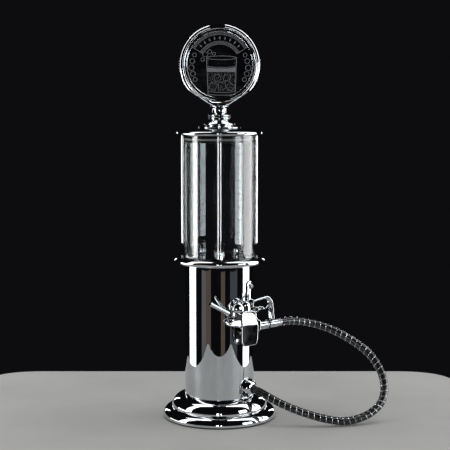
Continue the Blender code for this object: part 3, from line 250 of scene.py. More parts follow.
# Nozzle, trigger and holster, in the nozzle's own frame: X towards the hose, Y away from the front
NOZZLE_YAW = 30.0
NOZZLE_REACH = 0.0520
NOZZLE_HEIGHT = 0.1370
SPOUT_ANGLE = 151.3
SPOUT_HOLE = 0.0028
SPOUT_SOCKET = Vector((-0.0105, 0.0, -0.0047))
HOOD_CENTRE = (-0.0040, 0.0, 0.0030)
HOOD_RADII = (0.0080, 0.0054, 0.0084)
CAP_OUTLINE = (
    (0.0, 0.0126),
    (0.0022, 0.0124),
    (0.0040, 0.0117),
    (0.0051, 0.0106),
    (0.0057, 0.0090),
    (0.0059, 0.0068),
    (0.0059, -0.0010),
    (0.0, -0.0010),
)
BODY_OUTLINE = (
    (-0.0185, -0.0152),
    (-0.0188, -0.0114),
    (-0.0133, -0.0098),
    (-0.0079, 0.0001),
    (-0.0020, -0.0025),
    (0.0010, 0.0012),
    (0.0112, 0.0012),
    (0.0158, -0.0005),
    (0.0162, -0.0045),
    (0.0190, -0.0095),
    (0.0238, -0.0127),
    (0.0238, -0.0242),
    (0.0020, -0.0248),
    (-0.0060, -0.0180),
)
CHEEK_OUTLINE = ((-0.0178, -0.0156), (-0.0040, -0.0176), (-0.0040, -0.0090), (-0.0150, -0.0096), (-0.0180, -0.0118))
GRIP_ANGLE = 2.6
GRIP_START = Vector((0.0241, 0.0, -0.0190))
GRIP_BORE = 0.0020
GRIP_PIECES = (
    ("grip_sleeve", "nozzle_grip", 0.0, 0.0052, 0.0123, 0.0006, "chrome", (0.0112, 0.0100)),
    ("grip_gasket", "grip_ring", 0.0126, 0.0055, 0.0016, 0.0004, "rubber", ()),
    ("hose_union", "hose_coupling", 0.0145, 0.0049, 0.0117, 0.0006, "chrome", (0.0106, 0.0012)),
    ("hose_collar", "hose_ferrule", 0.0265, 0.0043, 0.0052, 0.0005, "chrome", (0.0038, 0.0026, 0.0014)),
)
GUARD_ROUTE = (
    (0.0131, 0.0045),
    (0.0131, 0.0088),
    (0.0142, 0.0110),
    (0.0166, 0.0121),
    (0.0307, 0.0149),
    (0.0345, 0.0150),
    (0.0380, 0.0125),
    (0.0404, 0.0076),
    (0.0420, -0.0060),
)
GUARD_BOLT = Matrix.Translation((0.0335, 0.0, 0.0139)) @ Matrix.Rotation(math.pi, 4, "X")
HEX_NUT_OUTLINE = ((0.0, 0.0050), (0.0042, 0.0050), (0.0048, 0.0044), (0.0048, 0.0006), (0.0042, 0.0), (0.0, 0.0))
BOLT_OUTLINE = ((0.0, 0.0016), (0.0014, 0.0014), (0.0019, 0.0006), (0.0019, -0.0006), (0.0, -0.0006))
TRIGGER_ROUTE = (
    (0.0, 0.0),
    (0.0050, 0.0003),
    (0.0100, 0.0027),
    (0.0140, 0.0038),
    (0.0180, 0.0038),
    (0.0210, 0.0050),
    (0.0240, 0.0074),
)
HOLSTER_OUTLINE = (
    (-0.0037, 0.0003),
    (0.0128, -0.0017),
    (0.0172, -0.0115),
    (0.0189, -0.0180),
    (0.0182, -0.0340),
    (0.0165, -0.0402),
    (-0.0015, -0.0415),
    (-0.0032, -0.0360),
)
HOLSTER_FRONT = 0.0086
HOLSTER_DEPTH = 0.0266
HOLSTER_BEND = -0.0165
HOLSTER_SLOPE = math.tan(math.radians(5.0))
HOLSTER_STRAP_AZIMUTH = 57.0
STRAP_HALF = 0.0061
STRAP_BOTTOM = 0.0975
STRAP_TOP = top("holster_bracket")
STRAP_RADIUS = COLUMN_RADIUS + GAP + 0.0018
STRAP_SCREW_HEIGHTS = (0.1035, 0.1640)
BOSS_OUTLINE = ((0.0016, 0.0014), (0.0030, 0.0014), (0.0036, 0.0008), (0.0038, 0.0), (0.0016, 0.0))
SCREW_OUTLINE = (
    (0.0, 0.0016),
    (0.0014, 0.00152),
    (0.0023, 0.0011),
    (0.0029, 0.0003),
    (0.0029, 0.0),
    (0.0015, 0.0),
    (0.0015, -0.0075),
    (0.0, -0.0075),
)

# Finishes of the hidden nodes, each with the nodes that take it
HIDDEN_FINISHES = {
    "felt": ("base_pad",),
    "iron": ("base_weight", "column_foot"),
    "steel": (
        "base_screw_1",
        "base_screw_2",
        "base_screw_3",
        "feed_clamp_top",
        "feed_clamp_bottom",
        "sign_bolt",
        "trigger_pin",
        "valve_stem",
    ),
    "brass": ("drain_nut", "outlet_nut"),
    "silicone": ("feed_tube",),
}

# Light. A card has its azimuth, half its spread in degrees, distance, low and high edges, radiance and tint
ROOM_FILL = 0.72
WHITE, COOL, WARM = (1.0, 1.0, 1.0), (0.86, 0.93, 1.0), (1.0, 0.76, 0.58)
CARDS = (
    ("left_low_strip", -99.0, 15.0, 1.15, -0.90, 0.05, 5.0, WHITE),
    ("left_strip", -77.0, 8.0, 1.15, 0.05, 0.34, 9.0, WHITE),
    ("left_high_strip", -77.0, 8.0, 1.15, 0.34, 1.60, 2.6, WHITE),
    ("left_back_strip", -151.0, 2.5, 1.20, 0.07, 0.55, 5.0, WHITE),
    ("right_low_strip", 98.5, 14.5, 1.15, -0.90, 0.05, 5.0, WHITE),
    ("right_strip", 94.5, 18.5, 1.15, 0.05, 0.34, 5.0, WHITE),
    ("right_high_strip", 94.5, 18.5, 1.15, 0.34, 1.60, 2.2, WHITE),
    ("right_back_strip", 151.0, 2.5, 1.20, 0.07, 0.55, 5.0, WHITE),
    ("front_right_strip", 57.4, 10.0, 1.15, 0.08, 0.50, 5.5, COOL),
    ("front_window_left", -4.0, 2.2, 1.60, -0.02, 0.30, 9.0, WHITE),
    ("front_window_right", 3.7, 0.8, 1.60, -0.02, 0.30, 9.0, WHITE),
    ("dim_card_left", -52.5, 7.3, 1.30, -0.40, 0.00, 0.12, WHITE),
    ("dim_warm_card", -36.6, 8.6, 1.30, -0.40, 0.00, 0.10, WARM),
    ("dim_card_middle", 11.4, 6.6, 1.30, -0.40, 0.00, 0.10, WARM),
    ("dim_card_right", 47.3, 12.5, 1.30, -0.40, 0.00, 0.07, COOL),
)
OVERHEAD_LAMPS = (("left_top_lamp", (-0.80, 0.05, 1.86)), ("right_top_lamp", (0.80, 0.05, 1.86)))
OVERHEAD_TARGET = Vector((0.0, 0.0, 0.25))
OVERHEAD_SIZE = (1.05, 0.80)
OVERHEAD_RADIANCE = 2.4

NOZZLE = Matrix.Translation(
    (
        NOZZLE_REACH * math.sin(math.radians(NOZZLE_YAW)),
        -NOZZLE_REACH * math.cos(math.radians(NOZZLE_YAW)),
        NOZZLE_HEIGHT,
    )
) @ Matrix.Rotation(math.radians(NOZZLE_YAW), 4, "Z")
SIGN = Matrix.Translation((0.0, 0.0, SIGN_CENTRE)) @ Matrix.Rotation(math.radians(SIGN_YAW), 4, "Z")
UPRIGHT = Matrix.Rotation(math.radians(90), 4, "X")


def linear(colour):
    """Linear RGBA from an sRGB hex colour."""
    values = [int(colour[i : i + 2], 16) / 255 for i in (1, 3, 5)]
    return (*[v / 12.92 if v <= 0.04045 else ((v + 0.055) / 1.055) ** 2.4 for v in values], 1.0)


def direction(azimuth):
    """Unit vector at an angle in degrees from the front, -Y, round towards +X."""
    angle = math.radians(azimuth)
    return Vector((math.sin(angle), -math.cos(angle), 0.0))


def aimed(place, aim):
    """The matrix that stands +Z of a piece on place, along aim."""
    return Matrix.Translation(place) @ Vector(aim).to_track_quat("Z", "Y").to_matrix().to_4x4()


# ---------------------------------------------------------------- materials


def add(tree, kind, inputs=None, **settings):
    """Adds a node with its settings. An input takes a value, or the socket that it is linked from."""
    made = tree.nodes.new(kind)
    for name, value in settings.items():
        setattr(made, name, value)
    for name, value in (inputs or {}).items():
        if isinstance(value, bpy.types.NodeSocket):
            tree.links.new(value, made.inputs[name])
        else:
            made.inputs[name].default_value = value
    return made


def patches(tree, size, low, high, detail=3.0, stretch=(1.0, 1.0, 1.0)):
    """Soft patches about size metres across, with values from low to high."""
    place = add(tree, "ShaderNodeTexCoord").outputs["Object"]
    place = add(tree, "ShaderNodeMapping", {"Vector": place, "Scale": stretch}).outputs["Vector"]
    noise = add(tree, "ShaderNodeTexNoise", {"Vector": place, "Scale": 1 / size, "Detail": detail})
    spread = {"Value": noise.outputs["Fac"], "From Min": 0.3, "From Max": 0.7, "To Min": low, "To Max": high}
    return add(tree, "ShaderNodeMapRange", spread).outputs["Result"]


def new_finish(name, colour, values, roughness=None, tints=None, relief=None):
    """A material with its shader's plain values, then patterns for roughness, two colours and a fine relief.

    Roughness is what patches takes. Tints are a patch size and two colours, relief a patch size and a depth,
    and either may end with its pattern's detail.
    """
    material = bpy.data.materials.new(name)
    material.use_nodes = True
    tree = material.node_tree
    shader = tree.nodes["Principled BSDF"]
    shader.inputs["Base Color"].default_value = linear(colour)
    for socket, value in values.items():
        shader.inputs[socket].default_value = value
    if roughness:
        tree.links.new(patches(tree, *roughness), shader.inputs["Roughness"])
    if tints:
        size, first, second, *detail = tints
        inputs = {0: patches(tree, size, 0.0, 1.0, *detail), 6: linear(first), 7: linear(second)}
        mix = add(tree, "ShaderNodeMix", inputs, data_type="RGBA")
        tree.links.new(mix.outputs[2], shader.inputs["Base Color"])
    if relief:
        size, depth, *detail = relief
        inputs = {"Strength": 1.0, "Distance": depth, "Height": patches(tree, size, 0.0, 1.0, *detail)}
        tree.links.new(add(tree, "ShaderNodeBump", inputs).outputs["Normal"], shader.inputs["Normal"])
    return material


def polished_chrome():
    """Bright chromium plate on brass and steel: a mirror with a cool tint, and a few wiped smears."""
    return new_finish(
        "polished_chrome",
        "#d2d5da",
        {"Metallic": 1.0, "Roughness": 0.02},
        roughness=(0.022, 0.008, 0.034, 5.0),
        tints=(0.060, "#cfd3d8", "#dadcde"),
        relief=(0.0130, 0.000012, 1.0),
    )


def cast_chrome():
    """Chromium plate on small zinc castings: as bright, and a little wavy where the casting was linished."""
    return new_finish(
        "cast_chrome",
        "#d8dade",
        {"Metallic": 1.0, "Roughness": 0.08},
        roughness=(0.006, 0.03, 0.09, 4.0),
        tints=(0.020, "#d2d5d9", "#e0e1e3"),
        relief=(0.0090, 0.000006, 1.0),
    )


def dark_mirror():
    """Stainless plate polished to a mirror: darker than chrome, with faint wiping marks across it."""
    return new_finish(
        "dark_mirror_steel",
        "#a9adb2",
        {"Metallic": 1.0, "Roughness": 0.05},
        roughness=(0.004, 0.04, 0.11, 5.0, (0.25, 1.0, 1.0)),
        tints=(0.018, "#a1a5aa", "#b3b6ba"),
    )


def etched_steel():
    """The same plate where it is stamped and frosted: pale and matt, with a fine grain of about 0.5 mm."""
    return new_finish(
        "etched_steel",
        "#7a7d81",
        {"Metallic": 0.35, "Roughness": 0.50},
        roughness=(0.0010, 0.42, 0.58),
        tints=(0.0030, "#6c6f73", "#888b8f"),
        relief=(0.0005, 0.00004),
    )


def zinc_steel():
    """Zinc-plated screws: satin grey with darker handling marks."""
    return new_finish(
        "zinc_plated_steel",
        "#b4b6ba",
        {"Metallic": 1.0, "Roughness": 0.22},
        roughness=(0.0020, 0.14, 0.30, 4.0),
        tints=(0.0040, "#a7a9ad", "#c5c6c9"),
    )


def cast_iron():
    """Grey cast iron under thin black paint: matt, with the sand's grain of about 1 mm."""
    return new_finish(
        "painted_cast_iron",
        "#2b2b2d",
        {"Metallic": 0.0, "Roughness": 0.60},
        roughness=(0.0030, 0.50, 0.72),
        tints=(0.0050, "#242426", "#38383a"),
        relief=(0.0010, 0.00010),
    )


def turned_brass():
    """Bare turned brass: warm, with the lathe's fine lines and a dull bloom."""
    return new_finish(
        "turned_brass",
        "#c9a55c",
        {"Metallic": 1.0, "Roughness": 0.20},
        roughness=(0.0012, 0.13, 0.30, 3.0, (1.0, 1.0, 5.0)),
        tints=(0.0060, "#b8924a", "#d6b670"),
    )


def clear_acrylic():
    """Cast acrylic, PMMA: water clear with polished faces and the lightest wiping haze."""
    return new_finish(
        "clear_acrylic_pmma",
        "#f7fafa",
        {"Roughness": 0.0, "IOR": 1.49, "Transmission Weight": 1.0},
        roughness=(0.030, 0.0, 0.006, 4.0, (1.0, 1.0, 0.4)),
    )


def wool_felt():
    """Black pressed wool felt: no gloss, fibres of about 1 mm standing out as grey lint."""
    return new_finish(
        "black_wool_felt",
        "#161617",
        {"Roughness": 0.95, "Sheen Weight": 0.4, "Sheen Roughness": 0.6},
        tints=(0.0010, "#0f0f10", "#2a2a2c", 6.0),
        relief=(0.0008, 0.00025, 6.0),
    )


def nitrile_rubber():
    """Black moulded nitrile: dull, with a slight grey bloom."""
    return new_finish(
        "black_nitrile_rubber",
        "#18181a",
        {"Roughness": 0.55},
        roughness=(0.0025, 0.45, 0.68),
        tints=(0.0060, "#131314", "#242426"),
        relief=(0.0010, 0.00003),
    )


def silicone():
    """Milky food-grade silicone tube and seal."""
    return new_finish(
        "milky_silicone",
        "#d9dcdc",
        {"Roughness": 0.35, "IOR": 1.41, "Transmission Weight": 0.35},
        roughness=(0.0040, 0.28, 0.46),
        tints=(0.0100, "#cfd3d3", "#e2e4e4"),
    )


def black_abs():
    """Black moulded ABS: satin, with a spark-eroded grain of about 0.6 mm."""
    return new_finish(
        "black_abs",
        "#1a1a1c",
        {"Roughness": 0.38},
        roughness=(0.0040, 0.30, 0.46),
        tints=(0.0100, "#161618", "#222224"),
        relief=(0.0006, 0.00002),
    )


def hose_rubber():
    """Extruded black PVC hose: glossy, with faint flow lines and dust in places."""
    return new_finish(
        "black_pvc_hose",
        "#121214",
        {"Roughness": 0.22, "Coat Weight": 0.3},
        roughness=(0.0050, 0.15, 0.34, 4.0),
        tints=(0.0120, "#0e0e10", "#1e1e21"),
        relief=(0.0030, 0.00005),
    )


def spring_wire():
    """Bright drawn steel wire: mirror streaks along it, slightly uneven."""
    return new_finish(
        "drawn_steel_wire",
        "#c6c9cd",
        {"Metallic": 1.0, "Roughness": 0.14},
        roughness=(0.0020, 0.08, 0.22),
        tints=(0.0080, "#b9bcc1", "#d4d6d9"),
    )


def scale_ink():
    """Baked screen ink of the measuring scale: slate, flat, a little thin in places."""
    return new_finish(
        "baked_scale_ink",
        "#3a4048",
        {"Roughness": 0.50},
        roughness=(0.0010, 0.40, 0.62),
        tints=(0.0015, "#31363e", "#4a5059"),
    )


def pale_table():
    """A plain matt tabletop."""
    return new_finish(
        "matt_table",
        "#a8a8a6",
        {"Roughness": 0.65, "Specular IOR Level": 0.3},
        roughness=(0.0500, 0.60, 0.72),
        tints=(0.1200, "#a4a4a2", "#acacaa"),
    )


# ---------------------------------------------------------------- mesh tools


def put(name, data):
    """A new object in the scene."""
    made = bpy.data.objects.new(name, data)
    bpy.context.scene.collection.objects.link(made)
    return made


def baked(holder):
    """The mesh that an object comes to with its modifiers, without the object."""
    graph = bpy.context.evaluated_depsgraph_get()
    mesh = bpy.data.meshes.new_from_object(holder.evaluated_get(graph))
    bpy.data.objects.remove(holder)
    return mesh


def shaped(mesh, *modifiers):
    """The mesh after modifiers, each a kind and its settings."""
    holder = put("blank", mesh)
    for kind, settings in modifiers:
        modifier = holder.modifiers.new(kind.lower(), kind)
        for name, value in settings.items():
            setattr(modifier, name, value)
    return baked(holder)


def shade(mesh, angle=32.0):
    """Smooth shading: sharp where faces meet at more than the angle, and true over each broad face."""
    mesh.shade_smooth()
    mesh.set_sharp_from_angle(angle=math.radians(angle))
    return shaped(mesh, ("WEIGHTED_NORMAL", {"keep_sharp": True}))


def mesh_of(form, weld=True):
    """Makes a bmesh a mesh. Where it is welded, its faces turn outwards too."""
    if weld:
        bmesh.ops.remove_doubles(form, verts=form.verts, dist=WELD)
        bmesh.ops.recalc_face_normals(form, faces=form.faces)
    mesh = bpy.data.meshes.new("shape")
    form.to_mesh(mesh)
    form.free()
    return mesh


def form_of(*meshes):
    """A bmesh that holds the meshes."""
    form = bmesh.new()
    for mesh in meshes:
        form.from_mesh(mesh)
    return form


def joined(*meshes):
    return mesh_of(form_of(*meshes), weld=False)


def placed(mesh, matrix):
    mesh.transform(matrix)
    return mesh


def moved(mesh, x=0.0, y=0.0, z=0.0):
    return placed(mesh, Matrix.Translation((x, y, z)))


def cut(mesh, *tools):
    """The mesh less each tool, a mesh in the same frame."""
    cutters = [put("cutter", tool) for tool in tools]
    steps = [("BOOLEAN", {"operation": "DIFFERENCE", "object": cutter}) for cutter in cutters]
    made = shaped(mesh, *steps, WELDED)
    for cutter in cutters:
        bpy.data.objects.remove(cutter)
    return made


def bevel(width, segments):
    """The modifier that rounds every edge sharper than 50 degrees."""
    settings = {"width": width, "segments": segments, "limit_method": "ANGLE", "angle_limit": math.radians(50)}
    return "BEVEL", settings


def hull(rows):
    """A bmesh skin over rows of points, each row with as many points as the last."""
    form = bmesh.new()
    verts = [[form.verts.new(point) for point in row] for row in rows]
    for a, b in zip(verts, verts[1:]):
        for k in range(len(a) - 1):
            form.faces.new((a[k], a[k + 1], b[k + 1], b[k]))
    return form


def sleeve(inner, outer, low, high):
    """The outline of a plain ring from its top inner corner, down its outer side."""
    return [(inner, high), (outer, high), (outer, low), (inner, low)]


def arc(centre, radius, start, end, count):
    """Points on a circle, from the start angle to the end angle in degrees."""
    angles = [math.radians(start + (end - start) * i / count) for i in range(count + 1)]
    return [(centre[0] + radius * math.cos(a), centre[1] + radius * math.sin(a)) for a in angles]


def quarter(inner, outer, low, high, count=20):
    """A quarter round from its top at the inner radius down to the outer radius."""
    angles = [math.pi / 2 * (1 - i / count) for i in range(count + 1)]
    return [(inner + (outer - inner) * math.cos(a), low + (high - low) * math.sin(a)) for a in angles]


def rounded(outline, radius, ring=False, least=25.0, count=5):
    """The outline with a small round in place of each corner that turns by more than least degrees."""
    points = []
    size = len(outline)
    for i, point in enumerate(outline):
        here = Vector(point)
        before = Vector(outline[i - 1]) - here
        after = Vector(outline[(i + 1) % size]) - here
        end = not ring and i in (0, size - 1)
        if end or 180 - math.degrees(before.angle(after)) < least:
            points.append(tuple(here))
            continue
        reach = min(radius, before.length * 0.45, after.length * 0.45)
        first = here + before.normalized() * reach
        last = here + after.normalized() * reach
        for k in range(count + 1):
            t = k / count
            points.append(tuple((1 - t) ** 2 * first + 2 * t * (1 - t) * here + t * t * last))
    return points


def turned(outline, steps=FINE_STEPS, ring=False, edge=0.0003):
    """A closed mesh turned round Z. The outline of (radius, height) points runs down its outer side."""
    profile = rounded(outline, edge, ring) if edge else list(outline)
    form = bmesh.new()
    verts = [form.verts.new((radius, 0.0, height)) for radius, height in profile]
    pairs = list(zip(verts, verts[1:])) + ([(verts[-1], verts[0])] if ring else [])
    edges = [form.edges.new(pair) for pair in pairs]
    bmesh.ops.spin(
        form,
        geom=verts + edges,
        cent=(0.0, 0.0, 0.0),
        axis=(0.0, 0.0, 1.0),
        angle=math.tau,
        steps=steps,
        use_merge=True,
    )
    return shade(mesh_of(form))


def rod(radius, low, high, sides=SMALL_STEPS):
    """A plain cylinder on Z, for cutting."""
    form = bmesh.new()
    bmesh.ops.create_cone(
        form,
        cap_ends=True,
        segments=sides,
        radius1=radius,
        radius2=radius,
        depth=high - low,
        matrix=Matrix.Translation((0.0, 0.0, (low + high) / 2)),
    )
    return mesh_of(form)


def block(low, high):
    """A box from its low corner to its high corner."""
    form = bmesh.new()
    bmesh.ops.create_cube(form, size=1.0)
    bmesh.ops.scale(form, vec=Vector(high) - Vector(low), verts=form.verts)
    bmesh.ops.translate(form, vec=(Vector(high) + Vector(low)) / 2, verts=form.verts)
    return mesh_of(form)


def plate(outline, thickness, edge=0.0, segments=4):
    """A flat closed outline in the XY plane, thickened both ways, with rounded edges."""
    form = bmesh.new()
    face = form.faces.new([form.verts.new((x, y, -thickness / 2)) for x, y in outline])
    grown = bmesh.ops.extrude_face_region(form, geom=[face])["geom"]
    upper = [v for v in grown if isinstance(v, bmesh.types.BMVert)]
    bmesh.ops.translate(form, vec=(0.0, 0.0, thickness), verts=upper)
    mesh = mesh_of(form)
    return shade(shaped(mesh, bevel(edge, segments)) if edge else mesh)


def strip(route, width, thickness, edge):
    """A bent strip with rounded edges: a route of (x, z) points, widened along Y and thickened."""
    form = hull([[(x, -width / 2, z) for x, z in route], [(x, width / 2, z) for x, z in route]])
    solid = {"thickness": thickness, "offset": 0.0, "use_even_offset": True}
    return shade(shaped(mesh_of(form, weld=False), ("SOLIDIFY", solid), bevel(edge, 4), WELDED))


def smooth_path(route, count):
    """Evenly spaced points on a smooth curve through the route's points."""
    knots = [Vector(point) for point in route]
    knots = [2 * knots[0] - knots[1], *knots, 2 * knots[-1] - knots[-2]]
    fine = []
    for a, b, c, d in zip(knots, knots[1:], knots[2:], knots[3:]):
        for i in range(20):
            t = i / 20
            fine.append(
                0.5 * (2 * b + (c - a) * t + (2 * a - 5 * b + 4 * c - d) * t**2 + (3 * b - a - 3 * c + d) * t**3)
            )
    fine.append(knots[-2])
    lengths = [0.0]
    for a, b in zip(fine, fine[1:]):
        lengths.append(lengths[-1] + (b - a).length)
    points = []
    place = 0
    for i in range(count):
        wanted = lengths[-1] * i / (count - 1)
        while place < len(fine) - 2 and lengths[place + 1] < wanted:
            place += 1
        share = (wanted - lengths[place]) / (lengths[place + 1] - lengths[place])
        points.append(fine[place].lerp(fine[place + 1], share))
    return points


def line_mesh(points):
    """A mesh of edges along points."""
    mesh = bpy.data.meshes.new("line")
    mesh.from_pydata([tuple(p) for p in points], [(i, i + 1) for i in range(len(points) - 1)], [])
    return mesh


def wires(paths, radius, closed=False, resolution=3):
    """Round wires along paths of points, with their ends filled."""
    curve = bpy.data.curves.new("wires", "CURVE")
    curve.dimensions = "3D"
    curve.bevel_depth = radius
    curve.bevel_resolution = resolution
    curve.use_fill_caps = True
    for path in paths:
        spline = curve.splines.new("POLY")
        spline.points.add(len(path) - 1)
        for point, place in zip(spline.points, path):
            point.co = (*place, 1.0)
        spline.use_cyclic_u = closed
    return shade(mesh_of(form_of(baked(put("wires", curve)))), 50.0)


def new_piece(name, mesh, key, body, *stands_for, slot=None):
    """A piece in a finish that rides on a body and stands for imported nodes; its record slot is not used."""
    mesh.materials.clear()
    mesh.materials.append(finish[key])
    piece = put(name, mesh)
    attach(piece, body)
    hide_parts(*stands_for)


# ---------------------------------------------------------------- geometry nodes


def new_group(name, inputs):
    """A geometry node group with named inputs and their defaults, and its input sockets by name."""
    group = bpy.data.node_groups.new(name, "GeometryNodeTree")
    group.interface.new_socket("Geometry", in_out="INPUT", socket_type="NodeSocketGeometry")
    for label, value in inputs.items():
        kind = "NodeSocketInt" if isinstance(value, int) else "NodeSocketFloat"
        group.interface.new_socket(label, in_out="INPUT", socket_type=kind).default_value = value
    group.interface.new_socket("Finish", in_out="INPUT", socket_type="NodeSocketMaterial")
    group.interface.new_socket("Geometry", in_out="OUTPUT", socket_type="NodeSocketGeometry")
    return group, group.nodes.new("NodeGroupInput").outputs


def close_group(group, geometry, start):
    """Ends a group: its instances made real, in the finish that comes in."""
    real = add(group, "GeometryNodeRealizeInstances", {"Geometry": geometry}).outputs[0]
    painted = add(group, "GeometryNodeSetMaterial", {"Geometry": real, "Material": start["Finish"]}).outputs[0]
    add(group, "NodeGroupOutput", {"Geometry": painted})
    return group


def grown(group, mesh, key, values):
    """The mesh that a geometry node group makes from a mesh, with its inputs set by name."""
    holder = put("holder", mesh)
    modifier = holder.modifiers.new("grow", "NODES")
    modifier.node_group = group
    values = {**values, "Finish": finish[key]}
    for item in group.interface.items_tree:
        if item.in_out == "INPUT" and item.name in values:
            modifier[item.identifier] = values[item.name]
    return shade(baked(holder))


def copies_group():
    """Copies of the incoming piece: each turned further round Z and raised further than the last."""
    inputs = {"Count": 3, "Circle Radius": 0.02, "First Angle": 0.0, "Turn": 0.0, "Rise": 0.0}
    group, start = new_group("copies_round_an_axis", inputs)
    index = add(group, "GeometryNodeInputIndex").outputs["Index"]
    turn = add(group, "ShaderNodeMath", {0: index, 1: start["Turn"]}, operation="MULTIPLY").outputs[0]
    angle = add(group, "ShaderNodeMath", {0: start["First Angle"], 1: turn}, operation="ADD").outputs[0]
    height = add(group, "ShaderNodeMath", {0: index, 1: start["Rise"]}, operation="MULTIPLY").outputs[0]
    rotation = add(group, "ShaderNodeCombineXYZ", {"Z": angle}).outputs[0]
    arm = add(group, "ShaderNodeCombineXYZ", {"X": start["Circle Radius"], "Z": height}).outputs[0]
    inputs = {"Vector": arm, "Angle": angle}
    place = add(group, "ShaderNodeVectorRotate", inputs, rotation_type="Z_AXIS").outputs[0]
    points = add(group, "GeometryNodePoints", {"Count": start["Count"], "Position": place}).outputs[0]
    inputs = {"Points": points, "Instance": start["Geometry"], "Rotation": rotation}
    return close_group(group, add(group, "GeometryNodeInstanceOnPoints", inputs).outputs[0], start)


def winding_group():
    """A round wire wound at an even pitch about the incoming line."""
    inputs = {"Steps": 800, "Winding Radius": 0.005, "Pitch": 0.007, "Wire Radius": 0.0005}
    group, start = new_group("wire_winding", inputs)
    line = add(group, "GeometryNodeMeshToCurve", {"Mesh": start["Geometry"]}).outputs[0]
    line = add(group, "GeometryNodeResampleCurve", {"Curve": line, "Count": start["Steps"]}).outputs[0]
    along = add(group, "GeometryNodeSplineParameter").outputs["Length"]
    turns = add(group, "ShaderNodeMath", {0: along, 1: start["Pitch"]}, operation="DIVIDE").outputs[0]
    angle = add(group, "ShaderNodeMath", {0: turns, 1: math.tau}, operation="MULTIPLY").outputs[0]
    tangent = add(group, "GeometryNodeInputTangent").outputs[0]
    normal = add(group, "GeometryNodeInputNormal").outputs[0]
    inputs = {"Vector": normal, "Axis": tangent, "Angle": angle}
    outwards = add(group, "ShaderNodeVectorRotate", inputs, rotation_type="AXIS_ANGLE").outputs[0]
    inputs = {0: outwards, "Scale": start["Winding Radius"]}
    offset = add(group, "ShaderNodeVectorMath", inputs, operation="SCALE").outputs[0]
    coil = add(group, "GeometryNodeSetPosition", {"Geometry": line, "Offset": offset}).outputs[0]
    inputs = {"Resolution": 8, "Radius": start["Wire Radius"]}
    section = add(group, "GeometryNodeCurvePrimitiveCircle", inputs).outputs[0]
    inputs = {"Curve": coil, "Profile Curve": section, "Fill Caps": True}
    return close_group(group, add(group, "GeometryNodeCurveToMesh", inputs).outputs[0], start)


def fizz_group():
    """Small flat dots scattered over the incoming face at an even spacing."""
    group, start = new_group("scattered_dots", {"Spacing": 0.0016, "Dot Radius": 0.0004, "Seed": 5})
    seed = start["Seed"]
    inputs = {"Mesh": start["Geometry"], "Distance Min": start["Spacing"], "Density Max": 900000.0, "Seed": seed}
    points = add(group, "GeometryNodeDistributePointsOnFaces", inputs, distribute_method="POISSON").outputs[0]
    inputs = {"Vertices": 8, "Radius": start["Dot Radius"], "Depth": 0.0005}
    dot = add(group, "GeometryNodeMeshCylinder", inputs).outputs[0]
    inputs = {"Min": 0.45, "Max": 1.25, "Seed": seed}
    size = add(group, "FunctionNodeRandomValue", inputs, data_type="FLOAT").outputs["Value"]
    inputs = {"Points": points, "Instance": dot, "Scale": size}
    return close_group(group, add(group, "GeometryNodeInstanceOnPoints", inputs).outputs[0], start)


def repeated(mesh, key, count, radius=0.0, first=0.0, turn=0.0, rise=0.0):
    """Copies of a mesh at a radius from Z: the first angle and the turn to the next are in degrees."""
    values = {"Count": count, "Circle Radius": radius, "Rise": rise}
    values.update({"First Angle": math.radians(first), "Turn": math.radians(turn)})
    return grown(copies, mesh, key, values)


# ---------------------------------------------------------------- stage


def make_camera():
    data = bpy.data.cameras.new("camera")
    data.lens = 96.0
    data.sensor_width = 36.0
    data.shift_x = 0.0123
    camera = put("camera", data)
    camera.location = (0.0, -1.45, 0.39)
    camera.rotation_euler = (math.radians(90 - 6.085), 0.0, 0.0)
    bpy.context.scene.camera = camera


def make_table():
    corners = [(-0.33, -0.42), (0.33, -0.42), (0.33, 0.24), (-0.33, 0.24)]
    mesh = moved(plate(rounded(corners, 0.08, True, count=16), 0.040, 0.006), z=-0.020)
    mesh.materials.append(pale_table())
    put("table", mesh)


def area_lamp(name, place, target, up, size, radiance, tint):
    """A rectangular lamp of even radiance that faces a target and that the camera doesn't see."""
    data = bpy.data.lights.new(name, "AREA")
    data.shape = "RECTANGLE"
    data.size, data.size_y = size
    data.energy = radiance * math.pi * data.size * data.size_y
    data.color = tint
    lamp = put(name, data)
    lamp.location = place
    lamp.rotation_euler = (target - place).to_track_quat("-Z", up).to_euler()
    lamp.visible_camera = False
    return lamp


def make_light():
    """Upright cards that only metal and glass show, wide lamps overhead, and a dim room."""
    for name, azimuth, spread, distance, low, high, radiance, tint in CARDS:
        middle = Vector((0.0, 0.0, (low + high) / 2))
        size = (2 * distance * math.tan(math.radians(spread)), high - low)
        place = direction(azimuth) * distance + middle
        area_lamp(name, place, middle, "Y", size, radiance, tint).visible_diffuse = False
    for name, place in OVERHEAD_LAMPS:
        area_lamp(name, Vector(place), OVERHEAD_TARGET, "X", OVERHEAD_SIZE, OVERHEAD_RADIANCE, WHITE)
    world = bpy.data.worlds.new("dim_room")
    world.use_nodes = True
    bpy.context.scene.world = world
    tree = world.node_tree
    tree.nodes.clear()
    path = add(tree, "ShaderNodeLightPath").outputs
    seen = path["Is Camera Ray"]
    for ray in ("Is Glossy Ray", "Is Transmission Ray"):
        seen = add(tree, "ShaderNodeMath", {0: seen, 1: path[ray]}, operation="MAXIMUM").outputs[0]
    fill = add(tree, "ShaderNodeBackground", {"Color": linear("#ffffff"), "Strength": ROOM_FILL}).outputs[0]
    room = add(tree, "ShaderNodeBackground", {"Color": linear("#0d0d0f"), "Strength": 1.0}).outputs[0]
    mixed = add(tree, "ShaderNodeMixShader", {0: seen, 1: fill, 2: room}).outputs[0]
    add(tree, "ShaderNodeOutputWorld", {"Surface": mixed})
    bpy.context.scene.view_settings.view_transform = "Standard"


# ---------------------------------------------------------------- pieces


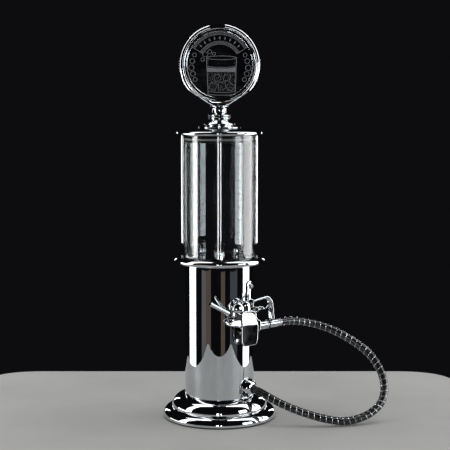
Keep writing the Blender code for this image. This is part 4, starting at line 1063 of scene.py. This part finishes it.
def make_hose():
    path = smooth_path(HOSE_ROUTE, 160)
    tube = wires([path], HOSE_TUBE_RADIUS, resolution=5)
    tube.materials.clear()
    tube.materials.append(finish["hose"])
    hose = put("hose_tube", tube)
    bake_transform(hose)
    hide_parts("hose")

    travelled = 0.0
    wound = []
    for a, b in zip(path, path[1:]):
        travelled += (b - a).length
        if travelled > HOSE_BARE_START:
            wound.append(b)
    values = {
        "Steps": int((travelled - HOSE_BARE_START) / HOSE_WIRE_PITCH * HOSE_WIRE_STEPS),
        "Winding Radius": HOSE_WIRE_CIRCLE,
        "Pitch": HOSE_WIRE_PITCH,
        "Wire Radius": HOSE_WIRE_RADIUS,
    }
    wire = put("hose_wire", grown(winding_group(), line_mesh(wound[:-1]), "wire", values))
    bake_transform(wire)


def make_base():
    outline = [(BASE_HOLE, BASE_TOP), (COLUMN_RADIUS + 0.0010, BASE_TOP)]
    outline += quarter(COLUMN_RADIUS + 0.0020, UPPER_TIER_RADIUS, LOWER_TIER_TOP, BASE_TOP - 0.0002, 28)
    outline += quarter(UPPER_TIER_RADIUS + 0.0005, BASE_RADIUS, BASE_BOTTOM + 0.0012, LOWER_TIER_TOP - 0.0003, 24)
    outline += [
        (BASE_RADIUS, BASE_BOTTOM),
        (BASE_RADIUS - 0.0020, BASE_BOTTOM),
        (BASE_RADIUS - 0.0024, 0.0045),
        (UPPER_TIER_RADIUS + 0.0036, 0.0096),
        (UPPER_TIER_RADIUS - 0.0026, 0.0110),
        (UPPER_TIER_RADIUS - 0.0050, 0.0176),
        (COLUMN_RADIUS - 0.0010, BASE_TOP - 0.0020),
        (BASE_HOLE, BASE_TOP - 0.0020),
    ]
    new_piece("base_bell", turned(outline, ring=True), "chrome", "pump", "base_shell")


def make_column():
    outline = sleeve(COLUMN_INNER, COLUMN_RADIUS, COLUMN_BOTTOM, COLUMN_TOP)
    new_piece("mirror_column", turned(outline, ring=True), "chrome", "pump", "column_tube")


def make_collar():
    bead = COLLAR_RADIUS - COLLAR_BEAD
    lip = CANISTER_RADIUS + GAP
    outline = [(lip, DECK_TOP), (lip, DECK_TOP + 0.0032), (bead - 0.0004, DECK_TOP + 0.0038)]
    outline += quarter(bead, COLLAR_RADIUS, COLLAR_MIDDLE, DECK_TOP + 0.0036, 12)[1:]
    outline += quarter(bead, COLLAR_RADIUS, COLLAR_MIDDLE, DECK_BOTTOM - 0.0006, 12)[-2::-1]
    outline += [
        (0.0435, DECK_BOTTOM - 0.0008),
        (0.0429, DECK_BOTTOM),
        (SPIGOT_RADIUS, DECK_BOTTOM),
        (SPIGOT_RADIUS, SPIGOT_BOTTOM),
        (SPIGOT_INNER, SPIGOT_BOTTOM),
        (SPIGOT_INNER, DECK_BOTTOM),
        (DRAIN_HOLE, DECK_BOTTOM),
        (DRAIN_HOLE, DECK_TOP),
    ]
    new_piece("collar_ring", turned(outline, ring=True), "chrome", "pump", "collar_flange")


def make_canister():
    gasket = sleeve(GASKET_INNER, reach("canister_gasket"), foot("canister_gasket"), top("canister_gasket"))
    gasket = turned(gasket, MIDDLE_STEPS, True, 0.0002)
    new_piece("foot_gasket", gasket, "rubber", "pump", "canister_gasket")
    wall = sleeve(CANISTER_INNER, CANISTER_RADIUS, CANISTER_BOTTOM, CANISTER_TOP)
    new_piece("clear_cylinder", turned(wall, ring=True, edge=0.0006), "acrylic", "pump", "canister_tube")
    floor = sleeve(DRAIN_HOLE, CANISTER_INNER - GAP, CANISTER_BOTTOM, FLOOR_TOP)
    new_piece("clear_floor", turned(floor, ring=True, edge=0.0004), "acrylic", "pump", "canister_floor")


def make_floor_fittings():
    """Acorn nuts on the clear floor, and the drain with its slotted strainer."""
    seat = FLOOR_TOP + GAP
    dome = [(0.0, 0.0065), *arc((0.0, 0.0038), 0.0027, 88, 0, 10)[1:], (0.0027, 0.0020), (0.0, 0.0020)]
    hexagon = turned(sleeve(0.0, 0.0029, 0.0, 0.0024), 6, edge=0.0)
    shank = rod(0.0015, -0.0110, 0.0010, 16)
    nut = moved(joined(turned(dome, 28, edge=0.0002), hexagon, shank), z=seat)
    nuts = repeated(nut, "chrome", 3, SCREW_CIRCLE, SCREW_START, 120.0)
    screws = ("floor_screw_1", "floor_screw_2", "floor_screw_3")
    new_piece("floor_acorn_nuts", nuts, "chrome", "pump", *screws, slot="steel")

    flange = seat + 0.0012
    outline = [
        (0.0024, flange),
        (DRAIN_RADIUS, flange),
        (DRAIN_RADIUS, seat),
        (0.0044, seat),
        (0.0044, 0.1846),
        (0.0041, 0.1846),
        (0.0041, DRAIN_BOTTOM + 0.0015),
        (0.0035, DRAIN_BOTTOM),
        (0.0024, DRAIN_BOTTOM),
    ]
    new_piece("drain_body", turned(outline, SMALL_STEPS, True, 0.0002), "chrome", "pump", "drain_fitting")
    low = flange + GAP
    rim = DRAIN_RADIUS * 0.9
    cap = [
        (0.0, low + 0.0035),
        (0.0022, low + 0.0034),
        (0.0041, low + 0.0031),
        (0.0054, low + 0.0024),
        (rim, low + 0.0014),
        (rim, low),
        (rim - 0.0010, low),
        (rim - 0.0010, low + 0.0013),
        (0.0, low + 0.0023),
    ]
    cap = cut(turned(cap, SMALL_STEPS), *cross(DRAIN_RADIUS + 0.0010, 0.0006, low - 0.0010, low + 0.0012))
    new_piece("drain_cap", shade(cap), "steel", "pump", "drain_strainer")


def cross(length, half, low, high):
    """Two bars across each other, for cutting slots."""
    return [block((-x, -y, low), (x, y, high)) for x, y in ((length, half), (half, length))]


def make_scale():
    """The measuring scale: long and short lines baked on the canister, with no figures."""
    ticks = []
    for last, first_height in TICK_ROWS:
        form = bmesh.new()
        rows = []
        for i in range(7):
            way = direction(TICK_AZIMUTH + (last - TICK_AZIMUTH) * i / 6)
            faces = [way * (CANISTER_RADIUS + rise) for rise in (0.00004, 0.00012)]
            rows.append([form.verts.new(face + Vector((0.0, 0.0, h))) for face in faces for h in (0.0, 0.0007)])
        for a, b in zip(rows, rows[1:]):
            for k, m in ((0, 1), (1, 3), (3, 2), (2, 0)):
                form.faces.new((a[k], a[m], b[m], b[k]))
        for row in (rows[0], rows[-1]):
            form.faces.new((row[0], row[1], row[3], row[2]))
        ticks.append(repeated(moved(mesh_of(form), z=first_height), "ink", 8, rise=TICK_STEP))
    new_piece("measuring_scale", joined(*ticks), "ink", "pump")


def make_lid():
    rim = LID_RADIUS - LID_BEAD - 0.0001
    dome = [(DISC_RADIUS + (rim - DISC_RADIUS) * s, LID_TOP - drop) for s, drop in LID_DOME_FALL]
    outline = [(STEM_BORE, LID_TOP), (DISC_RADIUS, LID_TOP), *dome, (rim - 0.0006, LID_BOTTOM + 0.0051)]
    outline += arc((rim, LID_BOTTOM + LID_BEAD), LID_BEAD, 70, -80, 14)
    outline += [
        (rim, LID_BOTTOM),
        (PLUG_RADIUS - 0.0018, LID_BOTTOM),
        (PLUG_RADIUS - 0.0028, LID_BOTTOM + 0.0025),
        (DISC_RADIUS, LID_TOP - 0.0020),
        (STEM_BORE, LID_TOP - 0.0020),
    ]
    new_piece("lid_dome", turned(outline, ring=True, edge=0.0002), "chrome", "lid", "lid_shell")
    low, high = PLUG_BOTTOM, top("lid_plug")
    groove = PLUG_RADIUS - 0.0008
    plug = [
        (0.0, low + 0.0018),
        (PLUG_RADIUS - 0.0018, low + 0.0018),
        (PLUG_RADIUS - 0.0018, high),
        (PLUG_RADIUS, high),
        (PLUG_RADIUS, low + 0.0056),
        (groove, low + 0.0056),
        (groove, low + 0.0020),
        (PLUG_RADIUS, low + 0.0020),
        (PLUG_RADIUS, low),
        (0.0, low),
    ]
    new_piece("lid_stopper", turned(plug, MIDDLE_STEPS, edge=0.0004), "abs", "lid", "lid_plug")
    inner, outer = groove + GAP, reach("lid_seal")
    seal = [(inner, low + 0.0053), (outer, low + 0.0045), (outer, low + 0.0031), (inner, low + 0.0023)]
    new_piece("lid_ring_seal", turned(seal, MIDDLE_STEPS, True, 0.0004), "silicone", "lid", "lid_seal")
    disc = turned(sleeve(STEM_BORE, DISC_RADIUS, LID_TOP + GAP, LID_TOP + 0.0013), MIDDLE_STEPS, True)
    new_piece("lid_washer", disc, "chrome", "lid", "lid_disc")


def make_stem():
    """The turned post under the sign: a waist, two beads and a bell."""
    high, waist, bead, bell = STEM_TOP, 0.0084, 0.0130, reach("sign_stem")
    outline = [(STEM_BORE, high), (SIGN_NECK, high), (SIGN_NECK, high - 0.0008)]
    outline += [(waist + 0.0014, high - 0.0018), (waist + 0.0006, high - 0.0030), (waist + 0.0001, high - 0.0045)]
    outline += [(waist, high - 0.0065), (waist + 0.0002, high - 0.0085), (waist + 0.0012, high - 0.0100)]
    outline += arc((bead - 0.0012, high - 0.0117), 0.0012, 80, -80, 8)
    outline += [(bead - 0.0024, high - 0.0131)]
    outline += arc((bead - 0.0012, high - 0.0147), 0.0012, 80, -80, 8)
    outline += [(bead + 0.0004, high - 0.0162), (bell * 0.80, high - 0.0172), (bell * 0.86, high - 0.0184)]
    outline += [(bell * 0.92, high - 0.0197), (bell * 0.97, high - 0.0207), (bell, high - 0.0216)]
    outline += [(bell, high - 0.0226), (bell - 0.0020, high - 0.0236), (bell - 0.0020, STEM_BOTTOM)]
    outline.append((STEM_BORE, STEM_BOTTOM))
    new_piece("sign_post", turned(outline, MIDDLE_STEPS, True), "chrome", "lid", "sign_stem")


def make_sign():
    """The sign's deep rim, two beads round each recess, and the faces with their stamped relief."""
    swing = math.degrees(math.atan2(SIGN_NECK, SIGN_RADIUS)) + 24.0
    swing += math.degrees(math.acos(min(1.0, SIGN_RADIUS / math.hypot(SIGN_RADIUS, SIGN_NECK))))
    outline = arc((0.0, 0.0), SIGN_RADIUS, swing - 90, 270 - swing, 120)
    outline += [(-SIGN_NECK, -SIGN_RADIUS), (SIGN_NECK, -SIGN_RADIUS)]
    surface = SIGN_THICKNESS / 2
    start = surface - SIGN_RECESS_DEPTH
    recesses = [rod(SIGN_RECESS, *ends, 256) for ends in ((start, SIGN_THICKNESS), (-SIGN_THICKNESS, -start))]
    body = placed(shade(cut(plate(outline, SIGN_THICKNESS, 0.0042, 6), *recesses), 30.0), SIGN @ UPRIGHT)
    new_piece("sign_rim", body, "chrome", "lid", "sign_body")
    faces = {}
    for side, turn in (("front", 0.0), ("back", 180.0)):
        face = SIGN @ Matrix.Rotation(math.radians(turn), 4, "Z") @ UPRIGHT
        bead = arc((0.0434, surface - 0.0006), 0.0014, 175, 5, 12)
        bead += [(0.0446, surface - 0.0016), (0.0422, surface - 0.0016)]
        lip = arc((0.0397, SIGN_FACE_FRONT), 0.0008, 175, 5, 8) + [(0.0404, 0.0050), (0.0390, 0.0050)]
        beads = joined(*[turned(ring, FINE_STEPS, True, 0.0) for ring in (bead, lip)])
        new_piece(f"sign_beads_{side}", placed(beads, face), "chrome", "lid")
        disc = sleeve(0.0, SIGN_RECESS - GAP, SIGN_FACE_FRONT - SIGN_FACE_THICKNESS, SIGN_FACE_FRONT)
        new_piece(f"sign_mirror_{side}", placed(turned(disc, 128), face), "mirror", "lid", f"sign_face_{side}")
        faces[side] = face
    for side, relief in (("front", stamped_tumbler()), ("back", stamped_rays())):
        relief = placed(moved(relief, z=SIGN_FACE_FRONT), faces[side])
        new_piece(f"sign_relief_{side}", relief, "etched", "lid")


def raised(points):
    return [(x, y, 0.0) for x, y in points]


def stamped_rays():
    """Four rings and a wreath of short rays, raised 0.3 mm."""
    rings = [wires([raised(arc((0.0, 0.0), r, 0, 357, 119))], 0.00035, True) for r in RAY_RINGS]
    ray = block((0.0, -0.00025, -0.0002), (0.0080, 0.00025, 0.0003))
    return joined(*rings, repeated(ray, "etched", 36, 0.0140, turn=10.0))


def stamped_tumbler():
    """A plain arched panel over a tumbler with ice and bubbles at each side, raised 0.3 mm."""
    low, high = PANEL_ANGLES
    parts = [wires([raised(arc((0.0, 0.0), radius, low, high, 60))], 0.00025) for radius in PANEL_LINES]
    for angle in PANEL_ANGLES:
        way = Vector((math.cos(math.radians(angle)), math.sin(math.radians(angle)), 0.0))
        parts.append(wires([[way * PANEL_LINES[0], way * PANEL_LINES[-1]]], 0.00035))
    for inner, outer, count in PANEL_HATCHES:
        bar = block((0.0, -0.00016, -0.0002), (outer - inner, 0.00016, 0.00025))
        parts.append(repeated(bar, "etched", count, inner, low + 1.0, (high - low - 2.0) / (count - 1)))
    stud = plate([(-0.0022, 0.0), (0.0, -0.0010), (0.0022, 0.0), (0.0, 0.0010)], 0.0006)
    parts.append(repeated(stud, "etched", 9, 0.0315, low + 12.0, (high - low - 24.0) / 8))
    parts.append(wires([raised(points) for points in TUMBLER_LINES], 0.00032))
    rim = [(0.0020 + 0.0180 * x, 0.0080 + 0.0022 * y) for x, y in arc((0, 0), 1.0, 0, 352, 44)]
    parts.append(wires([raised(rim)], 0.00035, True))
    parts.append(plate(TUMBLER_FILL, 0.0005))
    for x, y, turn, size in ICE_BLOCKS:
        parts.append(wires([raised(arc((x, y), size, turn, turn + 270, 3))], 0.00028, True))
    fizz = fizz_group()
    for outline, spacing, radius in FIZZ_AREAS:
        form = bmesh.new()
        form.faces.new([form.verts.new((x, y, 0.0)) for x, y in outline])
        values = {"Spacing": spacing, "Dot Radius": radius, "Seed": 5}
        parts.append(grown(fizz, mesh_of(form, weld=False), "etched", values))
    bubbles = [(sign * x, y, radius, 0.00035) for x, y, radius in SIDE_BUBBLES for sign in (-1, 1)]
    bubbles += [(x, y, radius, 0.00028) for x, y, radius in GLASS_BUBBLES]
    for x, y, radius, wire in bubbles:
        parts.append(wires([raised(arc((x, y), radius, 0, 345, 23))], wire, True))
    return joined(*parts)


def make_outlet():
    """The rosette on the column with the elbow that comes out of it."""
    aim = direction(OUTLET_AZIMUTH)
    up = Vector((0.0, 0.0, 1.0))
    bore = ELBOW_RADIUS + 0.0004
    outline = [(bore, ROSETTE_HEIGHT)]
    outline += [(ROSETTE_RADIUS * out, ROSETTE_HEIGHT * rise) for out, rise in ROSETTE_SHAPE]
    outline += [(ROSETTE_RADIUS, -ROSETTE_ROOT), (bore, -ROSETTE_ROOT)]
    rosette = turned(outline, MIDDLE_STEPS, True)
    rosette = placed(rosette, aimed(aim * COLUMN_RADIUS + up * OUTLET_HEIGHT, aim))
    end_aim = aim * math.cos(OUTLET_DROOP) - up * math.sin(OUTLET_DROOP)
    turn = aim * (COLUMN_RADIUS + ROSETTE_HEIGHT - ROSETTE_ROOT) + up * OUTLET_HEIGHT
    mouth = placed(rod(bore + 0.0002, 0.0, 0.0120), aimed(turn - end_aim * 0.0020, end_aim))
    column = rod(COLUMN_RADIUS + GAP, 0.0100, 0.0800, FINE_STEPS)
    new_piece("outlet_cup", shade(cut(rosette, column, mouth)), "chrome", "pump", "outlet_rosette")
    after_turn = turn + (aim + end_aim).normalized() * 0.0030
    inside = aim * 0.0211
    path = [inside + up * 0.0640, inside + up * 0.0520]
    for x, y in arc((0.0100, 0.0100), 0.0100, 180, 270, 6):
        path.append(inside + aim * x + up * (OUTLET_HEIGHT + y))
    path += [turn - aim * 0.0010, turn + aim * 0.0006, after_turn, after_turn + end_aim * 0.0070]
    elbow = wires([path], ELBOW_RADIUS, resolution=5)
    new_piece("outlet_pipe", elbow, "abs", "pump", "outlet_elbow")


def nozzle_aim(angle):
    """A direction in the nozzle's own upright plane, in degrees from the hose end."""
    return Vector((math.cos(math.radians(angle)), 0.0, math.sin(math.radians(angle))))


def make_casting(slot):
    """The nozzle's body, with a valve cap, a round hood over the spout and a cheek on its front."""
    valve_hole = moved(rod(0.0015, -0.0220, 0.0, 24), x=0.0198)
    spout_hole = placed(rod(SPOUT_HOLE, -0.0033, 0.0040), aimed(SPOUT_SOCKET, nozzle_aim(SPOUT_ANGLE)))
    body = placed(plate(rounded(BODY_OUTLINE, 0.0012, True), 0.0120, 0.0011), UPRIGHT)
    body = shade(cut(body, slot, valve_hole, spout_hole), 30.0)
    cap = shade(cut(moved(turned(CAP_OUTLINE, MIDDLE_STEPS), x=0.0054), slot), 30.0)
    hood = turned(arc((0.0, 0.0), 1.0, 90, -90, 24), MIDDLE_STEPS, edge=0.0)
    hood = placed(hood, Matrix.Translation(HOOD_CENTRE) @ Matrix.Diagonal((*HOOD_RADII, 1.0)))
    hood = cut(hood, block((-0.0200, -0.0100, -0.0100), (0.0100, 0.0100, 0.0)))
    cheek = form_of(placed(plate(rounded(CHEEK_OUTLINE, 0.0014, True), 0.0028, 0.0009), UPRIGHT))
    for vert in cheek.verts:
        vert.co.y += (vert.co.z + 0.0160) * HOLSTER_SLOPE - 0.0056
    casting = joined(body, cap, shade(hood), shade(mesh_of(cheek)))
    new_piece("nozzle_casting", placed(casting, NOZZLE), "cast", "nozzle", "nozzle_body")


def make_nozzle():
    """The hand nozzle: casting, spout with its nut and ring, grip, hose end and guard."""
    slot = block((0.0092, -0.0029, -0.0069), (0.0380, 0.0029, 0.0031))
    make_casting(slot)

    aim = nozzle_aim(SPOUT_ANGLE)
    tip = [(0.0018, 0.0365), (0.0023, 0.0366), (0.0025, 0.0362), (0.0025, -0.0030), (0.0018, -0.0030)]
    spout = placed(turned(tip, SMALL_STEPS, True, 0.0), NOZZLE @ aimed(SPOUT_SOCKET, aim))
    new_piece("spout_pipe", spout, "chrome", "nozzle", "nozzle_spout")
    nut = shade(cut(turned(HEX_NUT_OUTLINE, 6, edge=0.0), rod(SPOUT_HOLE, -0.0010, 0.0070)), 20.0)
    nut = placed(nut, NOZZLE @ aimed(SPOUT_SOCKET + aim * GAP, aim))
    new_piece("spout_hexagon", nut, "chrome", "nozzle", "spout_nut")
    ring = turned(sleeve(SPOUT_HOLE, 0.0037, 0.0, 0.0016), SMALL_STEPS, True)
    ring = placed(ring, NOZZLE @ aimed(SPOUT_SOCKET + aim * 0.0056, aim))
    new_piece("spout_gasket", ring, "rubber", "nozzle", "spout_ring")

    aim = nozzle_aim(GRIP_ANGLE)
    for name, node, distance, radius, length, edge, key, grooves in GRIP_PIECES:
        outline = [(GRIP_BORE, length), (radius, length)]
        for height in grooves:
            outline += [(radius, height + 0.0004), (radius - 0.0004, height + 0.0002)]
            outline += [(radius - 0.0004, height - 0.0002), (radius, height - 0.0004)]
        outline += [(radius, 0.0), (GRIP_BORE, 0.0)]
        mesh = turned(outline, MIDDLE_STEPS, True, edge)
        new_piece(name, placed(mesh, NOZZLE @ aimed(GRIP_START + aim * distance, aim)), key, "nozzle", node)

    end = GUARD_ROUTE[-1][0] + 0.0009
    foot_height = GRIP_START.z + 0.0188 * math.tan(math.radians(GRIP_ANGLE)) + 0.0055
    route = smooth_path([(x, 0.0, z) for x, z in (*GUARD_ROUTE, (end, foot_height))], 60)
    guard = strip([(p.x, p.z) for p in route], 0.0095, 0.0026, 0.0011)
    bolt = placed(turned(BOLT_OUTLINE, 28), GUARD_BOLT)
    new_piece("guard_bow", placed(joined(guard, bolt), NOZZLE), "cast", "nozzle", "nozzle_guard")


def make_trigger():
    """The lever with its hub, a bead and a round knob."""
    route = [(p.x, p.z) for p in smooth_path([(x, 0.0, z) for x, z in TRIGGER_ROUTE], 32)]
    parts = [strip(route, 0.0050, 0.0018, 0.0006)]
    hub = sleeve(0.0, 0.0022, -0.0025, 0.0025)
    bead = sleeve(0.0, 0.0021, -0.0025, 0.0025)
    knob = [(0.0, 0.0026), (0.0026, 0.0026), (0.0030, 0.0018), (0.0030, -0.0018), (0.0026, -0.0026), (0.0, -0.0026)]
    rounds = ((hub, 0.0004, 0.0, 0.0), (bead, 0.0006, 0.0145, 0.0050), (knob, 0.0004, 0.0070, 0.0042))
    for outline, edge, x, z in rounds:
        parts.append(moved(placed(turned(outline, SMALL_STEPS, edge=edge), UPRIGHT), x=x, z=z))
    lever = placed(joined(*parts), NOZZLE @ Matrix.Translation((0.0130, 0.0, -0.0027)))
    new_piece("trigger_blade", lever, "cast", "trigger", "trigger_lever")


def make_pocket():
    """The nozzle's pocket: a bevelled block whose front leans above its bend, open above and below."""
    pocket = placed(plate(rounded(HOLSTER_OUTLINE, 0.0030, True), HOLSTER_DEPTH, 0.0012, 5), UPRIGHT)
    form = form_of(moved(pocket, y=HOLSTER_DEPTH / 2 - HOLSTER_FRONT))
    for height in (HOLSTER_BEND, HOLSTER_BEND + 0.0008):
        every = form.verts[:] + form.edges[:] + form.faces[:]
        bmesh.ops.bisect_plane(form, geom=every, plane_co=(0.0, 0.0, height), plane_no=(0.0, 0.0, 1.0))
    for vert in form.verts:
        if vert.co.y < -0.0040 and vert.co.z > HOLSTER_BEND:
            vert.co.y += (vert.co.z - HOLSTER_BEND) * HOLSTER_SLOPE
    upper = block((-0.0300, -0.0064, -0.0251), (0.0400, 0.0064, 0.0100))
    lower = block((-0.0300, -0.0064, -0.0600), (0.0400, 0.0064, -0.0281))
    pocket = placed(cut(mesh_of(form), upper, lower), NOZZLE)
    return shade(cut(pocket, rod(COLUMN_RADIUS + GAP, 0.0600, 0.1800, FINE_STEPS)), 30.0)


def make_strap():
    """The strap up the column: crowned across, with a round end at the top."""
    straight = STRAP_TOP - STRAP_HALF
    heights = [STRAP_BOTTOM + (straight - STRAP_BOTTOM) * i / 8 for i in range(9)]
    heights += [straight + STRAP_HALF * math.sin(math.radians(a)) for a in range(6, 91, 6)]
    rows = []
    for height in heights:
        side = math.sqrt(max(0.0, STRAP_HALF**2 - max(0.0, height - straight) ** 2))
        row = []
        for across in [k / 6 - 1 for k in range(13)]:
            way = direction(HOLSTER_STRAP_AZIMUTH + math.degrees(side * across / STRAP_RADIUS))
            row.append(way * (STRAP_RADIUS - 0.0006 * across**2) + Vector((0.0, 0.0, height)))
        rows.append(row)
    form = hull(rows)
    bmesh.ops.remove_doubles(form, verts=form.verts, dist=0.00001)
    solid = {"thickness": 0.0012, "offset": -1.0, "use_even_offset": True}
    return shade(shaped(mesh_of(form, weld=False), ("SOLIDIFY", solid), bevel(0.0004, 3)), 30.0)


def make_holster():
    """The pocket, the strap with its bosses, and the cross-head screws."""
    aim = direction(HOLSTER_STRAP_AZIMUTH)
    bosses, screws = [], []
    for height in STRAP_SCREW_HEIGHTS:
        up = Vector((0.0, 0.0, height))
        boss = turned(BOSS_OUTLINE, SMALL_STEPS, True, 0.0002)
        bosses.append(placed(boss, aimed(aim * (STRAP_RADIUS - 0.0002) + up, aim)))
        screw = cut(turned(SCREW_OUTLINE, SMALL_STEPS, edge=0.0), *cross(0.0017, 0.0003, 0.0008, 0.0030))
        screws.append(placed(screw, aimed(aim * (STRAP_RADIUS + 0.0012 + GAP) + up, aim)))
    new_piece("holster", joined(make_pocket(), make_strap(), *bosses), "cast", "pump", "holster_bracket")
    heads = shade(joined(*screws), 30.0)
    new_piece("holster_cross_screws", heads, "steel", "pump", "holster_screw_1", "holster_screw_2")


def dress_hidden_nodes():
    """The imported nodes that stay, inside the base, the column and the nozzle."""
    for key, names in HIDDEN_FINISHES.items():
        for name in names:
            mesh = nodes[name].data
            mesh.materials.clear()
            mesh.materials.append(finish[key])


finish = {
    "chrome": polished_chrome(),
    "cast": cast_chrome(),
    "mirror": dark_mirror(),
    "etched": etched_steel(),
    "steel": zinc_steel(),
    "iron": cast_iron(),
    "brass": turned_brass(),
    "acrylic": clear_acrylic(),
    "felt": wool_felt(),
    "rubber": nitrile_rubber(),
    "silicone": silicone(),
    "abs": black_abs(),
    "hose": hose_rubber(),
    "wire": spring_wire(),
    "ink": scale_ink(),
}
copies = copies_group()
make_camera()
make_table()
make_light()
make_hose()
make_base()
make_column()
make_collar()
make_canister()
make_floor_fittings()
make_scale()
make_lid()
make_stem()
make_sign()
make_outlet()
make_nozzle()
make_trigger()
make_holster()
dress_hidden_nodes()
